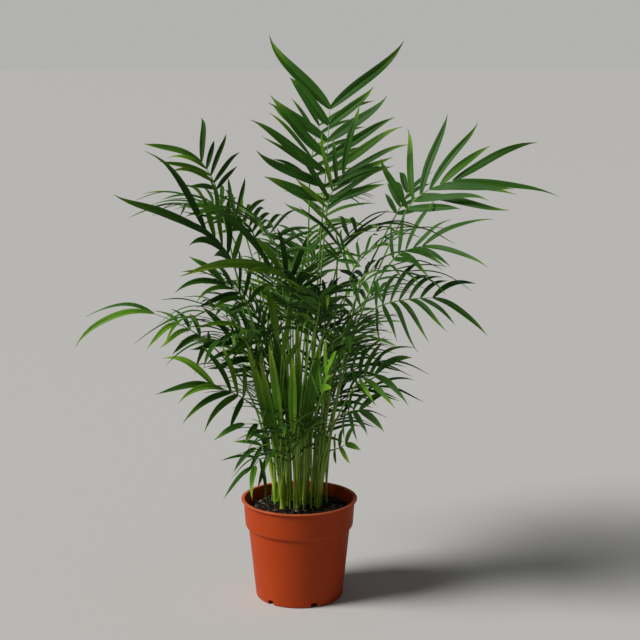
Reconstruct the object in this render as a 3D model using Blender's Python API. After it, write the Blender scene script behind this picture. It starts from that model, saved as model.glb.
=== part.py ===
"""A parlour palm in a plain 17 cm nursery pot: pot, soil, thirteen slender canes and a crown of feather
fronds. Metres, +Z up, the pot stands on z = 0 with its axis on the origin. The viewer of the photo stands
on the -Y side, so +X is the plant's right and +Y its far side."""
from collections import namedtuple

import bpy
import numpy as np
from mathutils.bvhtree import BVHTree

# Pot, metres
POT_HEIGHT = 0.148
LIP_RADIUS = 0.085
LIP_DEPTH = 0.0022
BAND_TOP_RADIUS = 0.0815
BAND_FOOT_RADIUS = 0.0787
BAND_DEPTH = 0.034
BODY_TOP_RADIUS = 0.0744
BODY_FOOT_RADIUS = 0.0638
WALL = 0.0018
FLOOR = 0.003
POT_SIDES = 40
DRAINS = 6
DRAIN_WIDTH = 0.012
DRAIN_HEIGHT = 0.007

# Soil and canes, metres and degrees
AIR = 0.0003
LEAF_AIR = 0.0004
SOIL_EDGE = 0.127
SOIL_TOP = 0.136
SOIL_FLAT_RADIUS = 0.062
CANES = 13
CLUMP_RADIUS = 0.040
CLUMP_BACK = 0.018
CANE_LEAN = (2.0, 8.0)
CANE_LENGTH = (0.155, 0.095)
CANE_RADIUS = 0.0034
CANE_FLARE = 1.45
GOLDEN_ANGLE = np.pi * (3 - np.sqrt(5))

# Fronds
STALK = 0.0015
RIB_TIP = 0.0008
ROOT_HALF = 0.003
STALK_RINGS = (0, 0.3, 0.57, 0.8)
THICKNESS = 0.0012
FAR_FRONDS = 11
NEAR_FRONDS = 7
SEED = 7

# neck: where the blade begins. tip: where its rib ends. face: bearing in degrees that the frond leans
# towards, 0 to the right and 90 away from the viewer. roll: turn about its own rib. pairs of leaflets, the
# length leaf and width wide of a full one. spread: the angle from the rib of the first and the last pair.
# lift: how far the two sides stand up as a V. droop and sweep: the bend down and towards the tip.
# last: length of the last pair against leaf.
Frond = namedtuple("Frond", "neck tip face roll pairs leaf wide spread lift droop sweep last",
                   defaults=((68, 40), 12, 0.18, 0.25, 0.95))

SEEN = [
    Frond((0.035, 0.010, 0.575), (0.045, 0.040, 0.715), 90, 0, 7, 0.120, 0.018, (72, 46), 8, 0.12, last=1.15),
    Frond((0.015, 0.090, 0.600), (0.030, 0.130, 0.685), 90, 5, 6, 0.095, 0.012, (72, 50)),
    Frond((0.040, -0.010, 0.570), (0.065, -0.005, 0.625), 40, 50, 5, 0.090, 0.014, (60, 30), last=1.1),
    Frond((0.150, -0.020, 0.570), (0.220, -0.020, 0.615), 0, 55, 6, 0.130, 0.014, (58, 20), droop=0.3, last=1.0),
    Frond((0.140, 0.060, 0.555), (0.160, 0.080, 0.590), 60, 0, 4, 0.050, 0.010),
    Frond((0.130, -0.050, 0.505), (0.175, -0.070, 0.530), 0, 40, 5, 0.080, 0.010, (60, 28), droop=0.35, last=1.25),
    Frond((0.105, -0.070, 0.440), (0.190, -0.090, 0.460), 0, 40, 7, 0.080, 0.010, (75, 40), droop=0.6),
    Frond((0.070, -0.110, 0.475), (0.105, -0.140, 0.490), 330, 20, 4, 0.055, 0.009, droop=0.6),
    Frond((0.080, -0.060, 0.330), (0.110, -0.080, 0.350), 0, 45, 5, 0.070, 0.011, (68, 34), droop=0.6),
    Frond((0.065, -0.050, 0.285), (0.090, -0.070, 0.295), 0, 45, 4, 0.050, 0.010, droop=0.5),
    Frond((0.050, -0.030, 0.225), (0.070, -0.050, 0.240), 0, 50, 3, 0.035, 0.010),
    Frond((-0.115, 0.010, 0.595), (-0.140, 0.020, 0.640), 180, -50, 5, 0.075, 0.010, (65, 38), droop=0.4, last=1.1),
    Frond((-0.090, -0.050, 0.500), (-0.130, -0.060, 0.550), 180, -30, 5, 0.095, 0.016, (60, 24), last=1.4),
    Frond((-0.065, 0.090, 0.515), (-0.100, 0.110, 0.555), 180, -40, 6, 0.075, 0.009, droop=0.7),
    Frond((-0.010, -0.065, 0.465), (-0.040, -0.090, 0.505), 180, -60, 5, 0.080, 0.013, (50, 20), last=1.7),
    Frond((0.055, -0.060, 0.505), (0.065, -0.080, 0.525), 0, 70, 4, 0.045, 0.009),
    Frond((0.025, -0.110, 0.425), (0.030, -0.150, 0.470), 270, 0, 5, 0.055, 0.010, droop=0.4),
    Frond((-0.070, -0.040, 0.440), (-0.105, -0.050, 0.475), 180, -50, 5, 0.075, 0.010, (68, 30), droop=0.5),
    Frond((-0.125, 0.000, 0.375), (-0.210, -0.010, 0.425), 180, -30, 6, 0.065, 0.011, (60, 15), 12, 1.2, 0.0, 1.8),
    Frond((-0.075, -0.060, 0.310), (-0.120, -0.080, 0.335), 180, -45, 5, 0.085, 0.012, (68, 22), droop=0.4),
    Frond((-0.050, -0.060, 0.275), (-0.080, -0.080, 0.280), 180, -45, 3, 0.045, 0.010, (68, 25), droop=0.4),
    Frond((-0.040, -0.020, 0.235), (-0.065, -0.030, 0.230), 180, -45, 3, 0.045, 0.009, (68, 25), droop=0.6),
    Frond((-0.045, -0.015, 0.210), (-0.065, -0.045, 0.205), 180, -45, 3, 0.060, 0.010, (68, 25), droop=0.5),
    Frond((-0.050, -0.030, 0.380), (-0.085, -0.040, 0.415), 180, -40, 6, 0.070, 0.009, (68, 35), droop=0.7),
    Frond((-0.020, -0.060, 0.350), (-0.030, -0.070, 0.400), 200, -70, 3, 0.070, 0.015, (30, 12), 12, 0.1, last=1.1),
    Frond((0.030, -0.070, 0.310), (0.040, -0.090, 0.355), 320, 60, 4, 0.060, 0.011, (50, 25), droop=0.3),
    Frond((-0.060, 0.030, 0.330), (-0.100, 0.020, 0.375), 180, -40, 6, 0.080, 0.011, (68, 30), droop=0.5),
]

for old in list(bpy.data.objects):
    bpy.data.objects.remove(old, do_unlink=True)


def unit(v):
    return v / np.linalg.norm(v)


def material(name, colour, roughness):
    m = bpy.data.materials.new(name)
    m.use_nodes = True
    shader = m.node_tree.nodes["Principled BSDF"]
    shader.inputs["Base Color"].default_value = (*colour, 1)
    shader.inputs["Roughness"].default_value = roughness
    shader.inputs["Metallic"].default_value = 0.0
    return m


def solid(name, verts, faces, look):
    mesh = bpy.data.meshes.new(name)
    mesh.from_pydata([tuple(map(float, v)) for v in verts], [], faces)
    mesh.validate()
    ob = bpy.data.objects.new(name, mesh)
    mesh.materials.append(look)
    bpy.context.collection.objects.link(ob)
    return ob


def turned(name, profile, sides, look):
    """Turns a closed row of (radius, height) points, listed up the outside and down the inside."""
    angles = np.arange(sides) * 2 * np.pi / sides
    verts, rings = [], []
    for r, z in profile:
        if r == 0:
            rings.append([len(verts)] * sides)
            verts.append((0, 0, z))
        else:
            rings.append(list(range(len(verts), len(verts) + sides)))
            verts += [(r * np.cos(a), r * np.sin(a), z) for a in angles]
    faces = []
    for low, high in zip(rings, rings[1:]):
        for i in range(sides):
            j = (i + 1) % sides
            corners = list(dict.fromkeys([low[i], low[j], high[j], high[i]]))
            if len(corners) > 2:
                faces.append(corners)
    return solid(name, verts, faces, look)


def curve(a, b, c, t):
    """Points and directions at t, from 0 to 1, on the arch that leaves a towards b and ends at c."""
    t = np.asarray(t, float)[:, None]
    way = 2 * (1 - t) * (b - a) + 2 * t * (c - b)
    return (1 - t) ** 2 * a + 2 * t * (1 - t) * b + t * t * c, way / np.linalg.norm(way, axis=1)[:, None]


# Canes: a sunflower layout, so that they stand evenly, each leaning out more the further out it stands
def cane_rows():
    rng = np.random.default_rng(SEED)
    rows = []
    for k in range(CANES):
        out = np.sqrt((k + 0.5) / CANES)
        bearing = k * GOLDEN_ANGLE + 0.4
        j = rng.uniform(-1, 1, 4)
        foot = np.array([CLUMP_RADIUS * out * np.cos(bearing), CLUMP_BACK + CLUMP_RADIUS * out * np.sin(bearing),
                         SOIL_TOP + AIR])
        lean = np.radians(CANE_LEAN[0] + CANE_LEAN[1] * out + 2 * j[0])
        bearing += 0.35 * j[1]
        way = np.array([np.sin(lean) * np.cos(bearing), np.sin(lean) * np.sin(bearing), np.cos(lean)])
        length = CANE_LENGTH[0] + (CANE_LENGTH[1] - CANE_LENGTH[0]) * out + 0.02 * j[2]
        rows.append((foot, foot + way * length, CANE_RADIUS * (1 + 0.15 * j[3])))
    return rows


def cane_point(cane, share):
    """Centre and radius of a cane at a share of its length: 0 at the soil, 1 at its tip."""
    foot, tip, radius = cane
    return foot + (tip - foot) * share, radius * (1 - 0.3 * share)


# Fronds that the photo doesn't show: they fill the far side and the near side by a rule
def filler_fronds():
    rows = []
    for i in range(FAR_FRONDS + NEAR_FRONDS):
        near = i >= FAR_FRONDS
        u, v, w = [(i * step + start) % 1 for step, start in ((0.618, 0.3), (0.755, 0.1), (0.570, 0.6))]
        bearing = np.radians((205 if near else 25) + 130 * u)
        reach = 0.07 + 0.05 * w if near else 0.08 + 0.09 * w
        height = 0.36 + 0.16 * v if near else 0.30 + 0.26 * v
        length = 0.07 + 0.05 * v
        out = np.array([np.cos(bearing), np.sin(bearing), 0])
        neck = reach * out + [0, 0.01, height]
        tip = neck + out * length * 0.75 + [0, 0, length * (0.55 - 0.5 * w)]
        rows.append(Frond(neck, tip, np.degrees(bearing), 20 * (w - 0.5), 6 + int(2 * v), 0.07 + 0.035 * v,
                          0.011, (68, 32), droop=0.5))
    return rows


def frond_path(frond, cane, share, turn, shift):
    """Five points: foot on the cane's side, bend, neck, bow, tip. The stalk runs up along the cane and arches
    to the neck, and the rib goes on the way the stalk ends."""
    neck, tip = np.array(frond.neck) + shift, np.array(frond.tip) + shift
    centre, radius = cane_point(cane, share)
    up = unit(cane[1] - cane[0])
    side = neck - centre
    side = unit(side - up * (side @ up))
    turned_side = side * np.cos(turn) + np.cross(up, side) * np.sin(turn)
    foot = centre + turned_side * (radius + STALK * np.sqrt(2) + AIR)
    bend = foot + up * 0.5 * np.linalg.norm(neck - foot)
    bow = neck + unit(neck - bend) * 0.45 * np.linalg.norm(tip - neck)
    return foot, bend, neck, bow, tip


def rod_spots(frond, path):
    """Centres, directions and half sizes of the square rings up the stalk and along the rib, two to a pair
    of leaflets."""
    place, half = stations(frond, path)
    stalk, stalk_ways = curve(*path[:3], STALK_RINGS)
    spots = np.stack([place - half, place + half], 1).ravel()
    rib, rib_ways = curve(*path[2:], spots)
    sizes = np.concatenate([np.full(len(stalk), STALK), STALK + (RIB_TIP - STALK) * spots])
    return np.concatenate([stalk, rib]), np.concatenate([stalk_ways, rib_ways]), sizes


def close_points(points, sizes):
    """Points every few millimetres along the straight runs between rings, with the half size there."""
    count = np.ceil(np.linalg.norm(np.diff(points, axis=0), axis=1) / 0.003).astype(int)
    at = np.concatenate([i + np.arange(c) / c for i, c in enumerate(count)] + [[len(count)]])
    ring = np.arange(len(points))
    return np.stack([np.interp(at, ring, points[:, k]) for k in range(3)], 1), np.interp(at, ring, sizes)


def room(points, radii, others, own):
    """Least gap from a rod to what already stands, and to its own cane."""
    centres, widths = others
    apart = np.linalg.norm(points[:, None] - centres, axis=2) - widths - radii[:, None]
    line, width = own
    beside = np.linalg.norm(points[:, None] - line, axis=2) - width - radii[:, None]
    return min(apart.min() - 0.0006, beside.min() - 0.0001)


def placed_fronds(fronds, canes):
    """Gives each frond a cane that stands on the way to it, highest first and at most four to a cane. It takes
    the first cane, side and shift nearer or further at which its stalk and rib run clear."""
    shares = np.linspace(0, 1, 60)
    lines = [np.array([cane_point(cane, s)[0] for s in shares]) for cane in canes]
    widths = [np.array([cane_point(cane, s)[1] for s in shares]) for cane in canes]
    used, rods, paths, least = [0] * len(canes), [], {}, 1.0
    for n in sorted(range(len(fronds)), key=lambda n: -fronds[n].neck[2]):
        neck = np.array(fronds[n].neck)
        halfway = np.array([0.5 * neck[0], CLUMP_BACK + 0.5 * (neck[1] - CLUMP_BACK)])
        cost = [np.hypot(*(cane[1][:2] - halfway)) + 0.01 * used[k] + 9 * (used[k] > 3) for k, cane in enumerate(canes)]
        tries = [(away, k, turn) for away in (0, 0.006, -0.006, 0.012, -0.012, 0.018, -0.018, 0.024, -0.024)
                 for k in np.argsort(cost)[:4] for turn in (0, 25, -25, 50, -50, 75, -75)]
        best = None
        for away, k, turn in tries:
            low = (neck[2] - 0.03 - SOIL_TOP) / (canes[k][1][2] - SOIL_TOP)
            share = min(0.94 - 0.17 * used[k], max(0.2, low))
            path = frond_path(fronds[n], canes[k], share, np.radians(turn), np.array([0, away, 0]))
            points, _, sizes = rod_spots(fronds[n], path)
            rod = close_points(points, sizes * np.sqrt(2))
            others = (np.concatenate([line for i, line in enumerate(lines) if i != k] + [r[0] for r in rods]),
                      np.concatenate([width for i, width in enumerate(widths) if i != k] + [r[1] for r in rods]))
            gap = room(*rod, others, (lines[k], widths[k]))
            if best is None or gap > best[0]:
                best = (gap, k, path, rod)
            if gap > 0:
                break
        least = min(least, best[0])
        used[best[1]] += 1
        paths[n] = best[2]
        rods.append(best[3])
    print("least room beyond the asked clearance, mm:", round(1000 * least, 2))
    return paths


def frame(frond, ways):
    """For each direction along a rib: across and upper-face vectors, turned by the frond's roll."""
    bearing, roll = np.radians(frond.face), np.radians(frond.roll)
    level = np.array([-np.sin(bearing), np.cos(bearing), 0.0])
    across = level - ways * (ways @ level)[:, None]
    across /= np.linalg.norm(across, axis=1)[:, None]
    upper = np.cross(ways, across)
    return across * np.cos(roll) + upper * np.sin(roll), upper * np.cos(roll) - across * np.sin(roll)


def stations(frond, path):
    """Places along the rib of the pairs, and the half length of a root there, as shares of the rib."""
    span = np.linalg.norm(path[4] - path[2])
    half = min(ROOT_HALF / span, 0.38 * 0.95 / (frond.pairs - 1))
    return np.linspace(0.05 + half, 1 - half, frond.pairs), half


VARIANTS = ((0, 1.0), (12, 0.9), (-12, 0.9), (24, 0.75), (-24, 0.75))


def leaflet(frond, path, n, i, side, variant, t):
    """Centres, across vectors, upper-face vectors and widths at t of leaflet i on one side of frond n. Its
    line is base + length (t way + t^2/2 sweep rib - t^2/2 droop up)."""
    j = np.random.default_rng([SEED, n]).uniform(-1, 1, (8, 2, 5))[i, (side + 1) // 2]
    place, _ = stations(frond, path)
    base, rib = curve(*path[2:], place[i:i + 1])
    across, upper = frame(frond, rib)
    base, rib, across, upper = base[0], rib[0], across[0], upper[0]
    s, end = i / (frond.pairs - 1), i == frond.pairs - 1
    angle = np.radians(frond.spread[0] + (frond.spread[1] - frond.spread[0]) * s + (2 if end else 5) * j[0])
    rise = np.radians(frond.lift + VARIANTS[variant][0] + 6 * j[1])
    way = np.cos(angle) * rib + np.sin(angle) * (side * across * np.cos(rise) + upper * np.sin(rise))
    share = frond.last if end else 0.72 + 0.28 * np.sin(np.pi * min(1, 1.25 * s))
    length = frond.leaf * share * (1 + (0.03 if end else 0.08) * j[2])
    width = frond.wide * (1.2 if end else 1) * (0.9 + 0.1 * j[3]) * VARIANTS[variant][1]
    droop = frond.droop * (1 + (0.2 if end else 0.5) * j[4])
    t = np.asarray(t, float)[:, None]
    bend = frond.sweep * rib - droop * np.array([0, 0, 1.0])
    centres = base + length * (t * way + 0.5 * t * t * bend)
    ways = way + t * bend
    ways /= np.linalg.norm(ways, axis=1)[:, None]
    faces = upper - ways * (ways @ upper)[:, None]
    faces /= np.linalg.norm(faces, axis=1)[:, None]
    over = side * np.cross(ways, faces)
    widths = width * np.interp(t[:, 0], [0, 0.12, 0.38, 0.7, 0.9, 1], [0.3, 0.62, 1, 0.74, 0.35, 0.05])
    return centres, over, faces, widths, length


def ring(centre, over, up, width, thick):
    """Corners of a leaflet's section: rootward under, rootward over, tipward over, tipward under."""
    a, b = over * width / 2, up * thick / 2
    return [centre - a - b, centre - a + b, centre + a + b, centre + a - b]


def tube(verts, faces, loop, rings, tip):
    """Walls from a loop of four vertices through rings of four to a point."""
    for corners in rings:
        new = list(range(len(verts), len(verts) + 4))
        verts += corners
        faces += [[loop[i], loop[(i + 1) % 4], new[(i + 1) % 4], new[i]] for i in range(4)]
        loop = new
    verts.append(tip)
    faces += [[loop[i], loop[(i + 1) % 4], len(verts) - 1] for i in range(4)]


def triangles(verts, faces):
    return BVHTree.FromPolygons([tuple(map(float, v)) for v in verts], faces)


def leaflet_rings(frond, path, n, i, side, variant):
    """Rings and tip of a leaflet's solid."""
    centres, over, up, widths, length = leaflet(frond, path, n, i, side, variant, [0.38, 0.72, 1.0])
    thick = max(THICKNESS, 0.0105 * length)
    return [ring(c, o, u, w, thick) for c, o, u, w in zip(centres[:2], over, up, widths)], centres[2], over, up


def grown_ring(corners, over, up, extra):
    """A ring's corners moved out by extra each way."""
    signs = ((-1, -1), (-1, 1), (1, 1), (1, -1))
    return [c + extra * (p * over + q * up) for c, (p, q) in zip(corners, signs)]


def rib_rings(frond, path):
    """Corners of the rod's square rings."""
    points, ways, sizes = rod_spots(frond, path)
    across, upper = frame(frond, ways)
    return [[p - a * s - u * s, p + a * s - u * s, p + a * s + u * s, p - a * s + u * s]
            for p, a, u, s in zip(points, across, upper, sizes)]


def rib_mesh(rings, leaflets=()):
    """Closed rod through square rings, with the side faces left open where a leaflet grows out."""
    verts = [v for corners in rings for v in corners]
    faces = [[3, 2, 1, 0], [len(verts) - 4 + i for i in range(4)]]
    for r in range(len(rings) - 1):
        a, b = 4 * r, 4 * r + 4
        for i in range(4):
            j = (i + 1) % 4
            if (r, i) not in leaflets:
                faces.append([a + i, a + j, b + j, b + i])
    return verts, faces


pot_look = material("pot plastic", (0.47, 0.105, 0.032), 0.5)
soil_look = material("moist compost", (0.016, 0.010, 0.007), 0.95)
cane_look = material("green cane", (0.16, 0.27, 0.025), 0.45)
frond_look = material("frond green", (0.045, 0.14, 0.014), 0.45)

# Pot: a turned shell with a projecting lip, an upper band, a step in and a tapering body
band_foot = POT_HEIGHT - BAND_DEPTH
outside = [(0, 0), (BODY_FOOT_RADIUS - 0.003, 0), (BODY_FOOT_RADIUS, 0.004), (BODY_TOP_RADIUS, band_foot - 0.011),
           (BODY_TOP_RADIUS + 0.0012, band_foot - 0.008), (BAND_FOOT_RADIUS - 0.0006, band_foot - 0.0035),
           (BAND_FOOT_RADIUS, band_foot), (BAND_TOP_RADIUS, POT_HEIGHT - LIP_DEPTH - 0.001),
           (LIP_RADIUS - 0.0008, POT_HEIGHT - LIP_DEPTH), (LIP_RADIUS, POT_HEIGHT - LIP_DEPTH + 0.0007),
           (LIP_RADIUS, POT_HEIGHT - 0.0007), (LIP_RADIUS - 0.0008, POT_HEIGHT)]
inside = [(BAND_TOP_RADIUS - WALL + 0.0006, POT_HEIGHT), (BAND_TOP_RADIUS - WALL, POT_HEIGHT - 0.0008),
          (BAND_FOOT_RADIUS - WALL, band_foot), (BODY_TOP_RADIUS - WALL, band_foot - 0.010),
          (BODY_FOOT_RADIUS - WALL, FLOOR + 0.002), (BODY_FOOT_RADIUS - WALL - 0.002, FLOOR), (0, FLOOR)]
pot = turned("pot", outside + inside, POT_SIDES, pot_look)

# Drain notches, cut through the corner between wall and floor
cut_verts, cut_faces = [], []
for k in range(DRAINS):
    bearing = np.radians(230 + 360 / DRAINS * k)
    out, side = np.array([np.cos(bearing), np.sin(bearing), 0]), np.array([-np.sin(bearing), np.cos(bearing), 0])
    n = len(cut_verts)
    for z in (-0.002, DRAIN_HEIGHT):
        for r, s in ((0.055, -1), (0.07, -1), (0.07, 1), (0.055, 1)):
            cut_verts.append(out * r + side * s * DRAIN_WIDTH / 2 * (1 - 8 * max(z, 0)) + [0, 0, z])
    cut_faces += [[n + 3, n + 2, n + 1, n], [n + 4, n + 5, n + 6, n + 7]]
    cut_faces += [[n + i, n + (i + 1) % 4, n + 4 + (i + 1) % 4, n + 4 + i] for i in range(4)]
cutter = solid("drain_cutter", cut_verts, cut_faces, pot_look)
cutter.hide_render = True
cutter.display_type = "WIRE"
cut = pot.modifiers.new("drains", "BOOLEAN")
cut.operation, cut.solver, cut.object = "DIFFERENCE", "EXACT", cutter

# Soil: fills the pot inside, 0.3 mm clear of its wall and floor
soil_foot, soil_step = FLOOR + AIR, band_foot - 0.010
soil_profile = [(0, soil_foot), (BODY_FOOT_RADIUS - WALL - 0.0024, soil_foot),
                (BODY_FOOT_RADIUS - WALL - 0.0004, soil_foot + 0.0022),
                (BODY_TOP_RADIUS - WALL - 0.0004, soil_step + 0.0002), (BAND_FOOT_RADIUS - WALL - 0.0006, band_foot),
                (BAND_FOOT_RADIUS - WALL - 0.0006, SOIL_EDGE), (SOIL_FLAT_RADIUS + 0.007, SOIL_TOP - 0.003),
                (SOIL_FLAT_RADIUS, SOIL_TOP), (0, SOIL_TOP)]
soil = turned("soil", soil_profile, POT_SIDES, soil_look)

# Canes: six-sided, flared at a flat foot 0.3 mm above the soil, tapering to the tip
canes = cane_rows()
standing_verts, standing_faces = [], []


def stand(verts, faces):
    n = len(standing_verts)
    standing_verts.extend(verts)
    standing_faces.extend([[n + v for v in face] for face in faces])


for k, cane in enumerate(canes):
    verts, faces = [], []
    for share, grow in ((0, CANE_FLARE), (0.05, 1.15), (0.12, 1.0), (1, 1.0)):
        centre, radius = cane_point(cane, share)
        way = unit(cane[1] - cane[0])
        side = unit(np.cross([0, 1, 0], way)) if share else np.array([1.0, 0, 0])
        ahead = np.cross(way, side) if share else np.array([0, 1.0, 0])
        verts += [centre + radius * grow * (side * np.cos(a) + ahead * np.sin(a)) for a in np.arange(6) * np.pi / 3]
    faces.append(list(range(5, -1, -1)))
    for r in range(3):
        faces += [[6 * r + i, 6 * r + (i + 1) % 6, 6 * r + 6 + (i + 1) % 6, 6 * r + 6 + i] for i in range(6)]
    faces.append(list(range(18, 24)))
    solid("cane_%02d" % (k + 1), verts, faces, cane_look)
    stand(verts, faces)

# Fronds: stalks and ribs first, then each leaflet that has room, 0.4 mm clear of everything
fronds = SEEN + filler_fronds()
paths = placed_fronds(fronds, canes)
rods = {n: rib_rings(fronds[n], paths[n]) for n in paths}
for n in rods:
    stand(*rib_mesh(rods[n]))
for ob in (pot, soil):
    stand([v.co for v in ob.data.vertices], [list(p.vertices) for p in ob.data.polygons])
standing = triangles(standing_verts, standing_faces)

done, skipped, made = [], 0, 0
for n in sorted(paths):
    frond, path = fronds[n], paths[n]
    own_verts, own_faces, grown, roots = [], [], {}, {}
    for i in range(frond.pairs):
        a, b = rods[n][4 + 2 * i], rods[n][5 + 2 * i]
        roots[i, 1], roots[i, -1] = [a[1], a[2], b[2], b[1]], [a[0], a[3], b[3], b[0]]
    for i in reversed(range(frond.pairs)):
        for side in (-1, 1):
            for variant in range(len(VARIANTS)):
                rings, tip, over, up = leaflet_rings(frond, path, n, i, side, variant)
                near_root = [r + 0.08 * (c - r) for r, c in zip(roots[i, side], rings[0])]
                test_verts = grown_ring(near_root, over[0], up[0], LEAF_AIR)
                test_faces = [[3, 2, 1, 0]]
                tube(test_verts, test_faces, [0, 1, 2, 3],
                     [grown_ring(r, o, u, LEAF_AIR) for r, o, u in zip(rings, over, up)], tip)
                trial = triangles(test_verts, test_faces)
                near = [standing] + done + ([triangles(own_verts, own_faces)] if own_verts else [])
                if not any(trial.overlap(tree) for tree in near):
                    grown[i, side] = variant
                    m = len(own_verts)
                    own_verts += test_verts
                    own_faces += [[m + v for v in face] for face in test_faces]
                    break
            else:
                skipped += 1
    if own_verts:
        done.append(triangles(own_verts, own_faces))
    open_sides = {(4 + 2 * i, 1 if side > 0 else 3) for i, side in grown}
    verts, faces = rib_mesh(rods[n], open_sides)
    for (i, side), variant in grown.items():
        a = 4 * (4 + 2 * i)
        b = a + 4
        loop = [a + 1, a + 2, b + 2, b + 1] if side > 0 else [a + 3, a + 0, b + 0, b + 3]
        rings, tip, _, _ = leaflet_rings(frond, path, n, i, side, variant)
        if side < 0:
            rings = [[r[1], r[0], r[3], r[2]] for r in rings]
        tube(verts, faces, loop, rings, tip)
        made += 1
    solid("frond_%02d" % (n + 1), verts, faces, frond_look)
print("leaflets:", made, "skipped:", skipped)
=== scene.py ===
# %% [markdown]
# # A parlour palm in a nursery pot
# The plant is a clump of slender green canes. Each cane carries a few feather fronds, and each frond is a
# rib with pairs of narrow leaflets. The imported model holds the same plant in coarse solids, and this lesson
# grows the fine one in its place: it works the fronds out again from the rule that the solids came from,
# and then carries every frond on to thin, folded, veined leaflets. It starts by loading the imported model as
# a fixed frame, and every size that follows is in metres in that frame.

# %% Load the frame
from collections import namedtuple

import bpy
import numpy as np
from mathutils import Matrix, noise


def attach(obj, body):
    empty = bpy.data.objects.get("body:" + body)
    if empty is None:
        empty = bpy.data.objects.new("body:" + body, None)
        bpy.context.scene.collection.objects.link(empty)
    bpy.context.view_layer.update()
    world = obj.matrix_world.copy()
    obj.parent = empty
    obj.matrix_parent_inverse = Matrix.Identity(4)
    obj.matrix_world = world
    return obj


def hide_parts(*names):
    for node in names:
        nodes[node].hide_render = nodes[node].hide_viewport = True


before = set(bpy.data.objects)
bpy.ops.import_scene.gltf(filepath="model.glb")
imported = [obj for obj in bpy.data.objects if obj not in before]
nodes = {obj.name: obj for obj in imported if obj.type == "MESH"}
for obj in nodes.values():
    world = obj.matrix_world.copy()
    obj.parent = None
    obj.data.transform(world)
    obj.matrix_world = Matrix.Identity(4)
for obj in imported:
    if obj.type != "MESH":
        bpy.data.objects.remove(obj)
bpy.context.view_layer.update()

# %% [markdown]
# ## The camera
# A photograph of a round pot tells where the camera stood: the rims of lip and foot are circles, and how
# far they flatten to ellipses gives the height and the distance. Here it looks along +Y from 2.1 m away and
# tips down a little. A focal length in pixels becomes a lens in millimetres by the sensor's width.

# %% Camera
FRAME_PIXELS = 640
FOCAL_PIXELS = 1514
SENSOR = 36.0
VIEWER_PLACE = (0.0305, -2.134, 0.822)
DOWNWARD = 0.1895
camera = bpy.data.cameras.new("camera")
camera.sensor_width = SENSOR
camera.lens = SENSOR * FOCAL_PIXELS / FRAME_PIXELS
viewer = bpy.data.objects.new("camera", camera)
viewer.location = VIEWER_PLACE
viewer.rotation_euler = (np.pi / 2 - DOWNWARD, 0, 0)
bpy.context.collection.objects.link(viewer)
bpy.context.scene.camera = viewer
print("lens:", round(camera.lens, 1), "mm")

# %% [markdown]
# ## Surfaces from arrays
# Every piece below is worked out as an array of points and a few arrays of faces. One helper turns them
# into a mesh object. Smooth shading with sharp edges past an angle keeps thin blades crisp at their
# margins. A map, if the piece has one, gets the name that the export keeps.

# %% Mesh helper
KEPT_MAP = "OFBake"


def piece(name, points, faces, looks, sharp=50, look_of_face=None, loop_uv=None):
    """A mesh object from points and faces, a list of index arrays. Edges that bend more than sharp degrees
    are kept crisp."""
    mesh = bpy.data.meshes.new(name)
    corners = [face for block in faces for face in np.asarray(block).tolist()]
    mesh.from_pydata(np.asarray(points, float).tolist(), [], corners)
    for look in looks:
        mesh.materials.append(look)
    if look_of_face is not None:
        mesh.polygons.foreach_set("material_index", np.asarray(look_of_face, np.int32))
    if loop_uv is not None:
        layer = mesh.uv_layers.new(name=KEPT_MAP)
        layer.data.foreach_set("uv", np.asarray(loop_uv, np.float32).ravel())
    mesh.shade_smooth()
    mesh.set_sharp_from_angle(angle=np.radians(sharp))
    ob = bpy.data.objects.new(name, mesh)
    bpy.context.collection.objects.link(ob)
    return ob


def closed(rows, sides, first, near, far):
    """Faces of a tube whose rings are stored one after another from point first on: (r, c), (r, c+1),
    (r+1, c+1), (r+1, c) round it, and a fan at each end, in which its first ring meets in the point near and
    its last ring in the point far."""
    around = np.arange(sides)
    ahead = (around + 1) % sides
    ring = first + sides * np.arange(rows - 1)[:, None]
    last = first + (rows - 1) * sides
    wall = np.stack([ring + around, ring + ahead, ring + sides + ahead, ring + sides + around], -1)
    return [wall.reshape(-1, 4), np.stack([0 * around + near, first + ahead, first + around], -1),
            np.stack([0 * around + far, last + around, last + ahead], -1)]


def triangles_of(ob):
    return sum(len(p.vertices) - 2 for p in ob.data.polygons)


# %% [markdown]
# ## Materials as sums
# A material is a little flow of numbers. Wiring it by hand hides the sum, so a small class wraps a socket
# and lets Python's own operators add the Math nodes. A material is then read like the formula it is.


# %% Wires
class Wire:
    """A number or colour on its way through a material. Arithmetic on it adds Math nodes."""

    def __init__(self, look, socket):
        self.look, self.socket = look, socket

    def maths(self, operation, *values):
        return self.look.node("Math", {"operation": operation}, dict(enumerate(values)))

    def __add__(self, other):
        return self.maths("ADD", self, other)

    def __sub__(self, other):
        return self.maths("SUBTRACT", self, other)

    def __rsub__(self, other):
        return self.maths("SUBTRACT", other, self)

    def __mul__(self, other):
        return self.maths("MULTIPLY", self, other)

    __radd__, __rmul__ = __add__, __mul__

    def fraction(self):
        return self.maths("FRACT", self)

    def floor(self):
        return self.maths("FLOOR", self)

    def size(self):
        return self.maths("ABSOLUTE", self)

    def sine(self):
        return self.maths("SINE", self)

    def step(self, low, high):
        """0 below low, 1 above high, and a smooth climb between."""
        return self.look.node("MapRange", {"interpolation_type": "SMOOTHSTEP"},
                              {"Value": self, "From Min": low, "From Max": high})


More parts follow.
